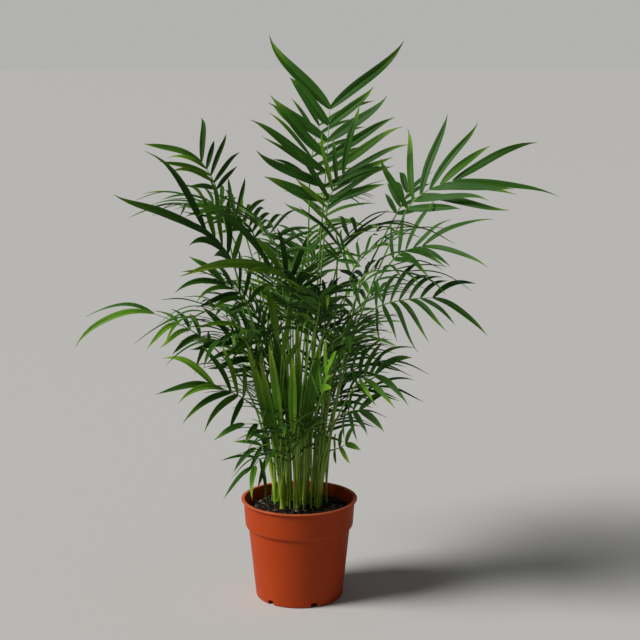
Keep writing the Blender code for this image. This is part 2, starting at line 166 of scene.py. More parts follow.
# %% Looks
class Look:
    """A material that is built by formulas and ends in one Principled shader."""

    def __init__(self, name, **constants):
        self.material = bpy.data.materials.new(name)
        self.material.use_nodes = True
        self.tree = self.material.node_tree
        self.shader = self.tree.nodes["Principled BSDF"]
        for socket, value in constants.items():
            self.shader.inputs[socket.replace("_", " ")].default_value = value

    def node(self, kind, settings=None, values=None, out=0):
        """Adds one node: its settings first, then the numbers or wires of its sockets."""
        made = self.tree.nodes.new("ShaderNode" + kind)
        for key, value in (settings or {}).items():
            setattr(made, key, value)
        for key, value in (values or {}).items():
            if isinstance(value, Wire):
                self.tree.links.new(value.socket, made.inputs[key])
            else:
                made.inputs[key].default_value = value
        return Wire(self, made.outputs[out])

    def place(self):
        return self.node("TexCoord", out="Object")

    def axes(self, vector):
        split = self.node("SeparateXYZ", values={0: vector})
        return [Wire(self, socket) for socket in split.socket.node.outputs]

    def noise(self, scale, detail, at=None, roughness=0.5):
        return self.node("TexNoise", None, {"Vector": at or self.place(), "Scale": scale, "Detail": detail,
                                            "Roughness": roughness})

    def mix(self, share, a, b):
        """Colour a where share is 0 and colour b where it is 1."""
        return self.node("Mix", {"data_type": "RGBA"}, {0: share, 6: full(a), 7: full(b)}, out=2)

    def bump(self, height, distance, strength):
        return self.node("Bump", None, {"Height": height, "Distance": distance, "Strength": strength})

    def ends(self, **wires):
        """Feeds the shader's sockets and returns the finished material."""
        for socket, wire in wires.items():
            self.tree.links.new(wire.socket, self.shader.inputs[socket.replace("_", " ")])
        return self.material


def full(colour):
    """A colour of three numbers gets its fourth."""
    return colour if isinstance(colour, Wire) else (*colour, 1.0)


# %% [markdown]
# ## The pot
# It is a thin shell of moulded plastic, turned on one axis: a flat foot, a tapering body, a sharp step out
# to the upper band, and a thin lip that stands out and catches the light. A lathe is the natural way: one
# profile, listed up the outside and down the inside, turned in a circle. Real mouldings have no sharp
# corners, so each corner of the profile is first replaced by a small arch. The step between body and band
# lies below band_foot, and its lower and upper edge are named for the outside and the inside.

# %% Pot sizes
POT_HEIGHT = 0.148
LIP_RADIUS, LIP_DEPTH = 0.085, 0.0022
BAND_TOP_RADIUS, BAND_FOOT_RADIUS, BAND_DEPTH = 0.0815, 0.0787, 0.034
BODY_TOP_RADIUS, BODY_FOOT_RADIUS = 0.0744, 0.0638
STEP_LOW, STEP_HIGH = 0.0092, 0.0078
INNER_STEP_LOW, INNER_STEP_HIGH = 0.0080, 0.0060
WALL, FLOOR = 0.0018, 0.003
band_foot = POT_HEIGHT - BAND_DEPTH


# %% Pot shell
def rounded(corners, steps=5):
    """Replaces each corner (radius, height, cut) of a profile by the arch that leaves the line before it at
    the distance cut, aims at the corner and meets the line after it: (1-u)^2 a + 2u(1-u) corner + u^2 b."""
    u = np.linspace(0, 1, steps)[:, None]
    rows = []
    for k, (r, z, cut) in enumerate(corners):
        here = np.array([r, z])
        if not cut:
            rows.append(here[None])
            continue
        before, after = np.array(corners[k - 1][:2]), np.array(corners[k + 1][:2])
        a = here + (before - here) / np.linalg.norm(before - here) * cut
        b = here + (after - here) / np.linalg.norm(after - here) * cut
        rows.append((1 - u) ** 2 * a + 2 * u * (1 - u) * here + u * u * b)
    return np.concatenate(rows)


def turned(profile, sides):
    """Points and faces of a profile turned once round: (r cos a, r sin a, z). Its first and last points lie
    on the axis and close it as poles."""
    angles = np.arange(sides) * 2 * np.pi / sides
    r, z = profile[1:-1, :1], profile[1:-1, 1:]
    rings = np.stack([r * np.cos(angles), r * np.sin(angles), z + 0 * angles], -1).reshape(-1, 3)
    points = np.concatenate([[[0, 0, profile[0, 1]]], rings, [[0, 0, profile[-1, 1]]]])
    return points, closed(len(profile) - 2, sides, 1, 0, len(points) - 1)


pot_profile = rounded([
    (0, 0, 0), (BODY_FOOT_RADIUS, 0, 0.0028), (BODY_TOP_RADIUS, band_foot - STEP_LOW, 0.0008),
    (BAND_FOOT_RADIUS, band_foot - STEP_HIGH, 0.0040), (BAND_TOP_RADIUS, POT_HEIGHT - LIP_DEPTH, 0.0008),
    (LIP_RADIUS, POT_HEIGHT - LIP_DEPTH, 0.0007), (LIP_RADIUS, POT_HEIGHT, 0.0010),
    (BAND_TOP_RADIUS - WALL, POT_HEIGHT, 0.0010),
    (BAND_FOOT_RADIUS - WALL, band_foot - INNER_STEP_HIGH, 0.0020),
    (BODY_TOP_RADIUS - WALL, band_foot - INNER_STEP_LOW, 0.0010),
    (BODY_FOOT_RADIUS - WALL, FLOOR, 0.0020), (0, FLOOR, 0)])
print("profile:", len(pot_profile), "points")

# %% [markdown]
# The plastic is a warm terracotta. Its colour wavers in soft clouds and in faint streaks up the wall, which
# are partly moulding streaks and partly painted reflection banding; the lip's edge is a little paler, partly
# where it is rubbed and partly a painted highlight line; and the foot has dust on it. All of these are noise,
# and height above the floor decides where the paler edge and the dust go.

# %% Pot plastic
pot_look = Look("terracotta plastic", Specular_IOR_Level=0.14)
where = pot_look.place()
_, _, height = pot_look.axes(where)
# Paler lip edge: partly wear, partly a painted highlight line along the lip's top.
worn_edge_and_highlight = height.step(POT_HEIGHT - 0.0018, POT_HEIGHT - 0.0004)
grain = pot_look.noise(900, 3, where)
cloud = pot_look.noise(14, 3, where)
# Faint streaks up the wall: partly moulding streaks, partly painted reflection banding.
streak_and_sheen = pot_look.noise(60, 2, pot_look.node("Mapping", None, {"Vector": where, "Scale": (1, 1, 0.12)}))
dust = pot_look.noise(260, 4, where, 0.6).step(0.62, 0.8) * height.step(0.05, 0.0)
colour = pot_look.mix(cloud, (0.34, 0.036, 0.003), (0.41, 0.048, 0.005))
colour = pot_look.mix(streak_and_sheen * 0.25, colour, (0.35, 0.046, 0.008))
colour = pot_look.mix(worn_edge_and_highlight * 0.35, colour, (0.66, 0.20, 0.09))
colour = pot_look.mix(dust * 0.35, colour, (0.45, 0.30, 0.2))
pot_plastic = pot_look.ends(Base_Color=colour, Roughness=0.42 + 0.14 * cloud + 0.1 * grain,
                            Normal=pot_look.bump(grain * 0.4 + streak_and_sheen * 0.6, 0.00025, 0.35))

# %% [markdown]
# The foot has six drain notches, each cut through the corner between wall and floor. A Boolean cut with
# small tapering blocks makes them, and its result is kept as the plain mesh, so that no cutter stays
# behind.

# %% Pot with its notches
POT_SIDES = 144
DRAINS, FIRST_DRAIN = 6, 230
DRAIN_WIDTH, DRAIN_HEIGHT, DRAIN_TAPER = 0.012, 0.007, 40
DRAIN_IN, DRAIN_OUT, DRAIN_BELOW = 0.055, 0.07, -0.002


def drain_block(bearing):
    """The eight corners of one cutter, four below and four above: out r + side half width, where the width
    shrinks by DRAIN_TAPER for each metre of height."""
    out = np.array([np.cos(bearing), np.sin(bearing), 0])
    side = np.array([-np.sin(bearing), np.cos(bearing), 0])
    corners = ((DRAIN_IN, -1), (DRAIN_OUT, -1), (DRAIN_OUT, 1), (DRAIN_IN, 1))
    return [out * r + side * s * DRAIN_WIDTH / 2 * (1 - DRAIN_TAPER * max(z, 0)) + [0, 0, z]
            for z in (DRAIN_BELOW, DRAIN_HEIGHT) for r, s in corners]


pot = piece("nursery_pot", *turned(pot_profile, POT_SIDES), [pot_plastic], sharp=60)
blocks = [drain_block(np.radians(FIRST_DRAIN + 360 / DRAINS * k)) for k in range(DRAINS)]
block_sides = [[i, (i + 1) % 4, 4 + (i + 1) % 4, 4 + i] for i in range(4)]
block_faces = np.array([[3, 2, 1, 0], [4, 5, 6, 7]] + block_sides)
cutter = piece("cutter", np.concatenate(blocks), [block_faces + 8 * k for k in range(DRAINS)], [pot_plastic])
cut = pot.modifiers.new("drains", "BOOLEAN")
cut.operation, cut.solver, cut.object = "DIFFERENCE", "EXACT", cutter
pot.data = bpy.data.meshes.new_from_object(pot.evaluated_get(bpy.context.evaluated_depsgraph_get()))
pot.modifiers.clear()
bpy.data.objects.remove(cutter)
pot.data.shade_smooth()
pot.data.set_sharp_from_angle(angle=np.radians(40))
print("pot:", triangles_of(pot), "triangles")

# %% [markdown]
# ## The compost
# Dark, moist and crumbly, level under the canes and lower at the wall. Its skin is a disc whose height is a
# smooth mound plus fractal noise, closed by a wall and a floor inside the pot.

# %% Compost skin
AIR = 0.0003
SOIL_EDGE, SOIL_TOP = 0.127, 0.136
LEVEL_RADIUS, SETTLED, DIP = 0.058, 0.0012, 0.0022
CLUMP_BACK = 0.018
SOIL_RINGS, SOIL_SIDES = 70, 180
inner_radius = BAND_FOOT_RADIUS - WALL + 0.0002


def soil_height(x, y):
    """The mound: level inside, falling to the wall over the last 19 mm as fall^1.3, with a shallow dip half
    way out, DIP sin^2(pi r / inner radius)."""
    r = np.hypot(x, y)
    fall = np.clip((r - LEVEL_RADIUS) / (inner_radius - LEVEL_RADIUS), 0, 1)
    dip = DIP * np.sin(np.pi * r / inner_radius) ** 2
    return SOIL_TOP - SETTLED - (SOIL_TOP - SOIL_EDGE) * fall ** 1.3 - dip


def lumps(points, scale, detail):
    """Fractal noise at each point, about -1 to 1."""
    return np.array([noise.fractal(p, 0.9, 2.1, detail) for p in (points * scale).tolist()])


LUMPS_PER_METRE, ROUGHNESS = 95, 0.0016
SOIL_WALL = ((BAND_FOOT_RADIUS - WALL - 0.0004, band_foot + 0.004),
             (BODY_TOP_RADIUS - WALL - 0.0006, band_foot - 0.012),
             (BODY_FOOT_RADIUS - WALL - 0.0022, FLOOR + AIR))


def compost_shape():
    """Rings of (R u cos a, R u sin a, mound + ROUGHNESS noise), where u is a ring's share of the radius R and
    the noise fades at the wall, then rings down the wall and a point that closes the floor."""
    share = np.linspace(0.02, 1, SOIL_RINGS)[:, None]
    angle = np.arange(SOIL_SIDES) * 2 * np.pi / SOIL_SIDES
    x, y = inner_radius * share * np.cos(angle), inner_radius * share * np.sin(angle)
    flat = np.stack([x, y, 0 * x], -1).reshape(-1, 3)
    rough = lumps(flat, LUMPS_PER_METRE, 5).reshape(x.shape)
    top = soil_height(x, y) + ROUGHNESS * rough * np.clip((1.0 - share) * 14, 0, 1)
    rings = [np.stack([x, y, top], -1).reshape(-1, 3)]
    for r, z in SOIL_WALL:
        rings.append(np.stack([r * np.cos(angle), r * np.sin(angle), 0 * angle + z], -1))
    points = np.concatenate([[[0, 0, top[0].mean()]], *rings, [[0, 0, FLOOR + AIR]]])
    faces = closed(SOIL_RINGS + len(SOIL_WALL), SOIL_SIDES, 1, 0, len(points) - 1)
    return points, [block[:, ::-1] for block in faces]


# %% Compost colours
soil_look = Look("moist compost", Specular_IOR_Level=0.15)
where = soil_look.place()
clods = soil_look.noise(420, 5, where, 0.65)
damp = soil_look.noise(60, 3, where)
colour = soil_look.mix(clods.step(0.35, 0.75), (0.0035, 0.0025, 0.002), (0.020, 0.013, 0.009))
colour = soil_look.mix(soil_look.noise(1500, 1, where).step(0.72, 0.8) * 0.5, colour, (0.10, 0.075, 0.05))
compost = soil_look.ends(Base_Color=colour, Roughness=0.95 - 0.35 * damp,
                         Normal=soil_look.bump(clods, 0.0012, 0.8))
soil = piece("compost", *compost_shape(), [compost], sharp=80)
print("compost:", triangles_of(soil), "triangles")

# %% [markdown]
# The compost is lumps of peat and bark, and the eye reads it by them. Displacing the skin further would
# only make it wavy, so 2,600 crumbs lie on it, each a lumpy stone of twenty faces stretched and turned by
# chance, most of them nearly black and a few pale.

# %% Crumbs
CRUMBS, SMALLEST, LARGEST = 2600, 0.0009, 0.0038
STRETCH, LUMPY, CLEAR_OF_WALL = 0.7, 0.28, 0.004
rng = np.random.default_rng(11)
GOLD = (1 + 5 ** 0.5) / 2
ball = np.array([(-1, GOLD, 0), (1, GOLD, 0), (-1, -GOLD, 0), (1, -GOLD, 0), (0, -1, GOLD), (0, 1, GOLD),
                 (0, -1, -GOLD), (0, 1, -GOLD), (GOLD, 0, -1), (GOLD, 0, 1), (-GOLD, 0, -1), (-GOLD, 0, 1)])
ball /= np.linalg.norm(ball[0])
ball_faces = np.array([(0, 11, 5), (0, 5, 1), (0, 1, 7), (0, 7, 10), (0, 10, 11), (1, 5, 9), (5, 11, 4),
                       (11, 10, 2), (10, 7, 6), (7, 1, 8), (3, 9, 4), (3, 4, 2), (3, 2, 6), (3, 6, 8),
                       (3, 8, 9), (4, 9, 5), (2, 4, 11), (6, 2, 10), (8, 6, 7), (9, 8, 1)])


def scattered(count, reach):
    """The points of each stone, centre + turned (ball, lumpy and stretched). A centre's distance from the
    axis is reach sqrt(u), so that stones lie evenly, and u^3 makes small ones the most common."""
    r, a = reach * np.sqrt(rng.uniform(0, 1, count)), rng.uniform(0, 2 * np.pi, count)
    size = SMALLEST + (LARGEST - SMALLEST) * rng.uniform(0, 1, count) ** 3
    shape = 1 + STRETCH * rng.uniform(-0.5, 0.8, (count, 3))
    spin = np.linalg.qr(rng.normal(size=(count, 3, 3)))[0]
    spin[np.linalg.det(spin) < 0, :, 0] *= -1
    x, y = r * np.cos(a), r * np.sin(a)
    centre = np.stack([x, y, soil_height(x, y) + 0.25 * size], -1)
    lumpy = ball * (1 + LUMPY * rng.uniform(-1, 1, (count, len(ball), 1)))
    return centre[:, None] + np.einsum("nij,nkj->nki", spin, lumpy * (shape * size[:, None])[:, None])


# %% Crumbs in three colours
def plain_look(name, dark, light, scale, roughness):
    """A finish that wavers between two colours at one scale."""
    look = Look(name, Specular_IOR_Level=0.2)
    spots = look.noise(scale, 4)
    return look.ends(Base_Color=look.mix(spots.step(0.3, 0.7), dark, light),
                     Roughness=roughness + 0.2 * spots, Normal=look.bump(spots, 0.0004, 0.6))


stones = scattered(CRUMBS, inner_radius - CLEAR_OF_WALL)
stone_faces = (ball_faces + len(ball) * np.arange(CRUMBS)[:, None, None]).reshape(-1, 3)
tones = [plain_look("peat crumb", (0.004, 0.003, 0.0025), (0.014, 0.009, 0.006), 700, 0.55),
         plain_look("bark crumb", (0.018, 0.010, 0.006), (0.05, 0.03, 0.018), 700, 0.6),
         plain_look("pale crumb", (0.16, 0.12, 0.08), (0.34, 0.28, 0.2), 700, 0.7)]
picks = np.repeat(rng.choice(len(tones), CRUMBS, p=[0.83, 0.15, 0.02]), len(ball_faces))
crumbs = piece("compost_crumbs", stones.reshape(-1, 3), [stone_faces], tones, 30, picks)
print("crumbs:", triangles_of(crumbs), "triangles")

# %% [markdown]
# ## Where the canes and fronds stand
# The solids came from a short rule, and the fine plant has to grow by the same one to stay within their
# reach. Thirteen canes stand in a sunflower layout, each leaning out more the further out it stands. A
# frond is one row of numbers: where its blade begins and ends, how it faces, and the shape of its leaflets.

# %% The canes' rule
CANES, CLUMP_RADIUS = 13, 0.040
CANE_LEAN, CANE_LENGTH = (2.0, 8.0), (0.155, 0.095)
CANE_RADIUS, CANE_FLARE, CANE_TAPER = 0.0034, 1.45, 0.3
LEAN_CHANCE, BEARING_CHANCE, LENGTH_CHANCE, RADIUS_CHANCE = 2, 0.35, 0.02, 0.15
FIRST_BEARING, GOLDEN_ANGLE = 0.4, np.pi * (3 - np.sqrt(5))
STALK, RIB_TIP, ROOT_HALF = 0.0015, 0.0008, 0.003
STALK_RINGS = (0, 0.3, 0.57, 0.8)
SEED = 7


def unit(v):
    return v / np.linalg.norm(v)


def units(vectors):
    return vectors / np.linalg.norm(vectors, axis=1)[:, None]


def curve(a, b, c, t):
    """Points and directions at t, from 0 to 1, on the arch that leaves a towards b and ends at c."""
    t = np.asarray(t, float)[:, None]
    way = 2 * (1 - t) * (b - a) + 2 * t * (c - b)
    return (1 - t) ** 2 * a + 2 * t * (1 - t) * b + t * t * c, units(way)


def cane_rows():
    """Foot, tip and radius of each cane."""
    rng = np.random.default_rng(SEED)
    rows = []
    for k in range(CANES):
        out = np.sqrt((k + 0.5) / CANES)
        bearing = k * GOLDEN_ANGLE + FIRST_BEARING
        j = rng.uniform(-1, 1, 4)
        foot = np.array([CLUMP_RADIUS * out * np.cos(bearing),
                         CLUMP_BACK + CLUMP_RADIUS * out * np.sin(bearing), SOIL_TOP + AIR])
        lean = np.radians(CANE_LEAN[0] + CANE_LEAN[1] * out + LEAN_CHANCE * j[0])
        bearing += BEARING_CHANCE * j[1]
        way = np.array([np.sin(lean) * np.cos(bearing), np.sin(lean) * np.sin(bearing), np.cos(lean)])
        length = CANE_LENGTH[0] + (CANE_LENGTH[1] - CANE_LENGTH[0]) * out + LENGTH_CHANCE * j[2]
        rows.append((foot, foot + way * length, CANE_RADIUS * (1 + RADIUS_CHANCE * j[3])))
    return rows


def cane_point(cane, share):
    """Centre and radius of a cane at a share of its length: 0 at the soil, 1 at its tip."""
    foot, tip, radius = cane
    return foot + (tip - foot) * share, radius * (1 - CANE_TAPER * share)


canes = cane_rows()
print("canes:", len(canes))

# %% [markdown]
# Each row below is one frond of the photograph: first the top, then the right side downwards, and then the
# left side and the middle. Places and lengths are in metres and angles in degrees. The far side can't be
# seen, so a rule fills it: fixed strides round the plant, up it and away from it, which wander evenly.

# %% The fronds of the view
Frond = namedtuple("Frond", "neck tip face roll pairs leaf wide spread lift droop sweep last",
                   defaults=((68, 40), 12, 0.18, 0.25, 0.95))
SEEN = [
    Frond((0.035, 0.010, 0.575), (0.045, 0.040, 0.715), 90, 0, 7, 0.120, 0.018, (72, 46), 8, 0.12, last=1.15),
    Frond((0.015, 0.090, 0.600), (0.030, 0.130, 0.685), 90, 5, 6, 0.095, 0.012, (72, 50)),
    Frond((0.040, -0.010, 0.570), (0.065, -0.005, 0.625), 40, 50, 5, 0.090, 0.014, (60, 30), last=1.1),
    Frond((0.150, -0.020, 0.570), (0.220, -0.020, 0.615), 0, 55, 6, 0.130, 0.014, (58, 20),
          droop=0.3, last=1.0),
    Frond((0.140, 0.060, 0.555), (0.160, 0.080, 0.590), 60, 0, 4, 0.050, 0.010),
    Frond((0.130, -0.050, 0.505), (0.175, -0.070, 0.530), 0, 40, 5, 0.080, 0.010, (60, 28),
          droop=0.35, last=1.25),
    Frond((0.105, -0.070, 0.440), (0.190, -0.090, 0.460), 0, 40, 7, 0.080, 0.010, (75, 40), droop=0.6),
    Frond((0.070, -0.110, 0.475), (0.105, -0.140, 0.490), 330, 20, 4, 0.055, 0.009, droop=0.6),
    Frond((0.080, -0.060, 0.330), (0.110, -0.080, 0.350), 0, 45, 5, 0.070, 0.011, (68, 34), droop=0.6),
    Frond((0.065, -0.050, 0.285), (0.090, -0.070, 0.295), 0, 45, 4, 0.050, 0.010, droop=0.5),
    Frond((0.050, -0.030, 0.225), (0.070, -0.050, 0.240), 0, 50, 3, 0.035, 0.010),
    Frond((-0.115, 0.010, 0.595), (-0.140, 0.020, 0.640), 180, -50, 5, 0.075, 0.010, (65, 38),
          droop=0.4, last=1.1),
    Frond((-0.090, -0.050, 0.500), (-0.130, -0.060, 0.550), 180, -30, 5, 0.095, 0.016, (60, 24), last=1.4),
    Frond((-0.065, 0.090, 0.515), (-0.100, 0.110, 0.555), 180, -40, 6, 0.075, 0.009, droop=0.7),
    Frond((-0.010, -0.065, 0.465), (-0.040, -0.090, 0.505), 180, -60, 5, 0.080, 0.013, (50, 20), last=1.7),
    Frond((0.055, -0.060, 0.505), (0.065, -0.080, 0.525), 0, 70, 4, 0.045, 0.009),
    Frond((0.025, -0.110, 0.425), (0.030, -0.150, 0.470), 270, 0, 5, 0.055, 0.010, droop=0.4),
    Frond((-0.070, -0.040, 0.440), (-0.105, -0.050, 0.475), 180, -50, 5, 0.075, 0.010, (68, 30), droop=0.5),
    Frond((-0.125, 0.000, 0.375), (-0.210, -0.010, 0.425), 180, -30, 6, 0.065, 0.011, (60, 15),
          droop=1.2, sweep=0.0, last=1.8),
    Frond((-0.075, -0.060, 0.310), (-0.120, -0.080, 0.335), 180, -45, 5, 0.085, 0.012, (68, 22), droop=0.4),
    Frond((-0.050, -0.060, 0.275), (-0.080, -0.080, 0.280), 180, -45, 3, 0.045, 0.010, (68, 25), droop=0.4),
    Frond((-0.040, -0.020, 0.235), (-0.065, -0.030, 0.230), 180, -45, 3, 0.045, 0.009, (68, 25), droop=0.6),
    Frond((-0.045, -0.015, 0.210), (-0.065, -0.045, 0.205), 180, -45, 3, 0.060, 0.010, (68, 25), droop=0.5),
    Frond((-0.050, -0.030, 0.380), (-0.085, -0.040, 0.415), 180, -40, 6, 0.070, 0.009, (68, 35), droop=0.7),
    Frond((-0.020, -0.060, 0.350), (-0.030, -0.070, 0.400), 200, -70, 3, 0.070, 0.015, (30, 12),
          droop=0.1, last=1.1),
    Frond((0.030, -0.070, 0.310), (0.040, -0.090, 0.355), 320, 60, 4, 0.060, 0.011, (50, 25), droop=0.3),
    Frond((-0.060, 0.030, 0.330), (-0.100, 0.020, 0.375), 180, -40, 6, 0.080, 0.011, (68, 30), droop=0.5),
]
print("fronds of the view:", len(SEEN))

# %% Fronds of the far and the near side
FAR_FRONDS, NEAR_FRONDS, SIDE_SWEEP = 11, 7, 130
Side = namedtuple("Side", "bearing reach height")
FAR, NEAR = Side(25, (0.08, 0.09), (0.30, 0.26)), Side(205, (0.07, 0.05), (0.36, 0.16))
STRIDES = (0.618, 0.755, 0.570)
FILLER_LENGTH, FILLER_LEAF, FILLER_WIDE = (0.07, 0.05), (0.07, 0.035), 0.011


def wandering(i, starts):
    """Three shares from 0 to 1: (i stride + start) mod 1."""
    return [(i * stride + start) % 1 for stride, start in zip(STRIDES, starts)]


def filler_fronds():
    """Fronds on every bearing of the far side and then of the near side. Reach, height and lengths are a
    least value plus a share of a range."""
    rows = []
    for i in range(FAR_FRONDS + NEAR_FRONDS):
        u, v, w = wandering(i, (0.3, 0.1, 0.6))
        side = FAR if i < FAR_FRONDS else NEAR
        bearing = np.radians(side.bearing + SIDE_SWEEP * u)
        length = FILLER_LENGTH[0] + FILLER_LENGTH[1] * v
        out = np.array([np.cos(bearing), np.sin(bearing), 0])
        neck = (side.reach[0] + side.reach[1] * w) * out + [0, 0.01, side.height[0] + side.height[1] * v]
        tip = neck + out * length * 0.75 + [0, 0, length * (0.55 - 0.5 * w)]
        rows.append(Frond(neck, tip, np.degrees(bearing), 20 * (w - 0.5), 6 + int(2 * v),
                          FILLER_LEAF[0] + FILLER_LEAF[1] * v, FILLER_WIDE, (68, 32), droop=0.5))
    return rows


fronds = dict(enumerate(SEEN + filler_fronds()))
print("fronds:", len(fronds))

# %% [markdown]
# A stalk leaves its cane's side, runs up beside it and arches over to its blade, and no two may cross. So
# each frond tries its nearest canes, the sides of the cane and small shifts along the view until its stalk
# and rib keep clear of all that stands already. The highest fronds choose first.

# %% Where each stalk runs
BEND, BOW = 0.5, 0.45
FIRST_PAIR, ROOT_SHARE = 0.05, 0.38


def bow_point(bend, neck, tip):
    """Where a rib aims as it leaves the neck: on the way that the stalk ends, for BOW of the rib's span."""
    return neck + unit(neck - bend) * BOW * np.linalg.norm(tip - neck)


def frond_path(frond, cane, share, turn, shift):
    """Five points: foot on the cane's side, bend, neck, bow, tip. The stalk runs up along the cane and arches
    to the neck, and the rib goes on the way the stalk ends."""
    neck, tip = np.array(frond.neck) + shift, np.array(frond.tip) + shift
    centre, radius = cane_point(cane, share)
    up = unit(cane[1] - cane[0])
    side = neck - centre
    side = unit(side - up * (side @ up))
    turned_side = side * np.cos(turn) + np.cross(up, side) * np.sin(turn)
    foot = centre + turned_side * (radius + STALK * np.sqrt(2) + AIR)
    bend = foot + up * BEND * np.linalg.norm(neck - foot)
    return foot, bend, neck, bow_point(bend, neck, tip), tip


def stations(frond, path):
    """Places along the rib of the pairs, and the half length of a root there, as shares of the rib."""
    span = np.linalg.norm(path[4] - path[2])
    half = min(ROOT_HALF / span, ROOT_SHARE * (1 - FIRST_PAIR) / (frond.pairs - 1))
    return np.linspace(FIRST_PAIR + half, 1 - half, frond.pairs), half


def rod_spots(frond, path):
    """Centres and half sizes of the solid's square rings up the stalk and along the rib."""
    place, half = stations(frond, path)
    spots = np.stack([place - half, place + half], 1).ravel()
    points = np.concatenate([curve(*path[:3], STALK_RINGS)[0], curve(*path[2:], spots)[0]])
    return points, np.concatenate([np.full(len(STALK_RINGS), STALK), STALK + (RIB_TIP - STALK) * spots])


# %% Room between stalks
CLOSE, STALK_ROOM, CANE_ROOM = 0.003, 0.0006, 0.0001


def close_points(points, sizes):
    """Points every few millimetres along the straight runs between rings, with the half size there."""
    count = np.ceil(np.linalg.norm(np.diff(points, axis=0), axis=1) / CLOSE).astype(int)
    at = np.concatenate([i + np.arange(c) / c for i, c in enumerate(count)] + [[len(count)]])
    ring = np.arange(len(points))
    return np.stack([np.interp(at, ring, points[:, k]) for k in range(3)], 1), np.interp(at, ring, sizes)


def room(points, radii, others, own):
    """Least gap from a rod to what already stands, and to its own cane."""
    centres, widths = others
    apart = np.linalg.norm(points[:, None] - centres, axis=2) - widths - radii[:, None]
    line, width = own
    beside = np.linalg.norm(points[:, None] - line, axis=2) - width - radii[:, None]
    return min(apart.min() - STALK_ROOM, beside.min() - CANE_ROOM)


# %% A cane for each frond
AWAY = (0, 0.006, -0.006, 0.012, -0.012, 0.018, -0.018, 0.024, -0.024)
TURNS = (0, 25, -25, 50, -50, 75, -75)
CANE_SPOTS, CANES_TRIED, MOST_ON_A_CANE = 60, 4, 4
CROWDING, FULL = 0.01, 9
LOWEST, HIGHEST, LOWER_BY, BELOW_NECK = 0.2, 0.94, 0.17, 0.03


def placed_fronds(fronds, canes):
    """Gives each frond a cane on the way to it, highest first: the first cane, side and shift nearer or
    further at which its stalk and rib run clear. Returns the path of each frond, and its host: the cane and
    the share of the cane's length where it leaves. The limit of that share falls by LOWER_BY for each frond
    there."""
    shares = np.linspace(0, 1, CANE_SPOTS)[:, None]
    standing = [(centres, radii.ravel()) for centres, radii in (cane_point(cane, shares) for cane in canes)]
    used, rods, paths, hosts = [0] * len(canes), [], {}, {}
    for n in sorted(fronds, key=lambda n: -fronds[n].neck[2]):
        neck = np.array(fronds[n].neck)
        halfway = np.array([0.5 * neck[0], CLUMP_BACK + 0.5 * (neck[1] - CLUMP_BACK)])
        cost = [np.hypot(*(cane[1][:2] - halfway)) + CROWDING * used[k] + FULL * (used[k] >= MOST_ON_A_CANE)
                for k, cane in enumerate(canes)]
        nearest = np.argsort(cost)[:CANES_TRIED]
        best = None
        for away, k, turn in ((a, k, t) for a in AWAY for k in nearest for t in TURNS):
            level = (neck[2] - BELOW_NECK - SOIL_TOP) / (canes[k][1][2] - SOIL_TOP)
            share = min(HIGHEST - LOWER_BY * used[k], max(LOWEST, level))
            path = frond_path(fronds[n], canes[k], share, np.radians(turn), np.array([0, away, 0]))
            points, sizes = rod_spots(fronds[n], path)
            rod = close_points(points, sizes * np.sqrt(2))
            others = [np.concatenate(part) for part in zip(*(standing[:k] + standing[k + 1:] + rods))]
            gap = room(*rod, others, standing[k])
            if best is None or gap > best[0]:
                best = (gap, path, rod, (k, share))
            if gap > 0:
                break
        _, paths[n], rod, hosts[n] = best
        used[hosts[n][0]] += 1
        rods.append(rod)
    return paths, hosts


paths, hosts = placed_fronds(fronds, canes)
print("fronds on each cane:", [sum(k == host for host, _ in hosts.values()) for k in range(CANES)])

# %% [markdown]
# A leaflet leaves its rib at an angle that closes towards the tip, rises a little above the frond's plane
# and hangs by its own weight. Chance moves each of these, less for the last pair, which makes the outline.
# The numbers of chance come from a seed for each frond, so the solids and this lesson draw the same ones. A
# leaflet of the solids that would have touched another was tried again with more or less rise and a
# narrower blade, in the order of VARIANTS, and the lesson looks up which of these was kept.

# %% The leaflets' rule
VARIANTS = ((0, 1.0), (12, 0.9), (-12, 0.9), (24, 0.75), (-24, 0.75))
Chance = namedtuple("Chance", "turn rise length droop")
ALONG, AT_END = Chance(5, 6, 0.08, 0.5), Chance(2, 6, 0.03, 0.2)
END_WIDER, WIDTH_CHANCE = 1.2, 0.1
FIRST_LENGTH, LENGTH_RANGE, LENGTH_PEAK = 0.72, 0.28, 1.25
TIP_MATCH = 0.0002


def frond_frame(frond, ways):
    """For each direction along a rib: across and upper-face vectors, turned by the frond's roll."""
    bearing, roll = np.radians(frond.face), np.radians(frond.roll)
    level = np.array([-np.sin(bearing), np.cos(bearing), 0.0])
    across = units(level - ways * (ways @ level)[:, None])
    upper = np.cross(ways, across)
    return across * np.cos(roll) + upper * np.sin(roll), upper * np.cos(roll) - across * np.sin(roll)


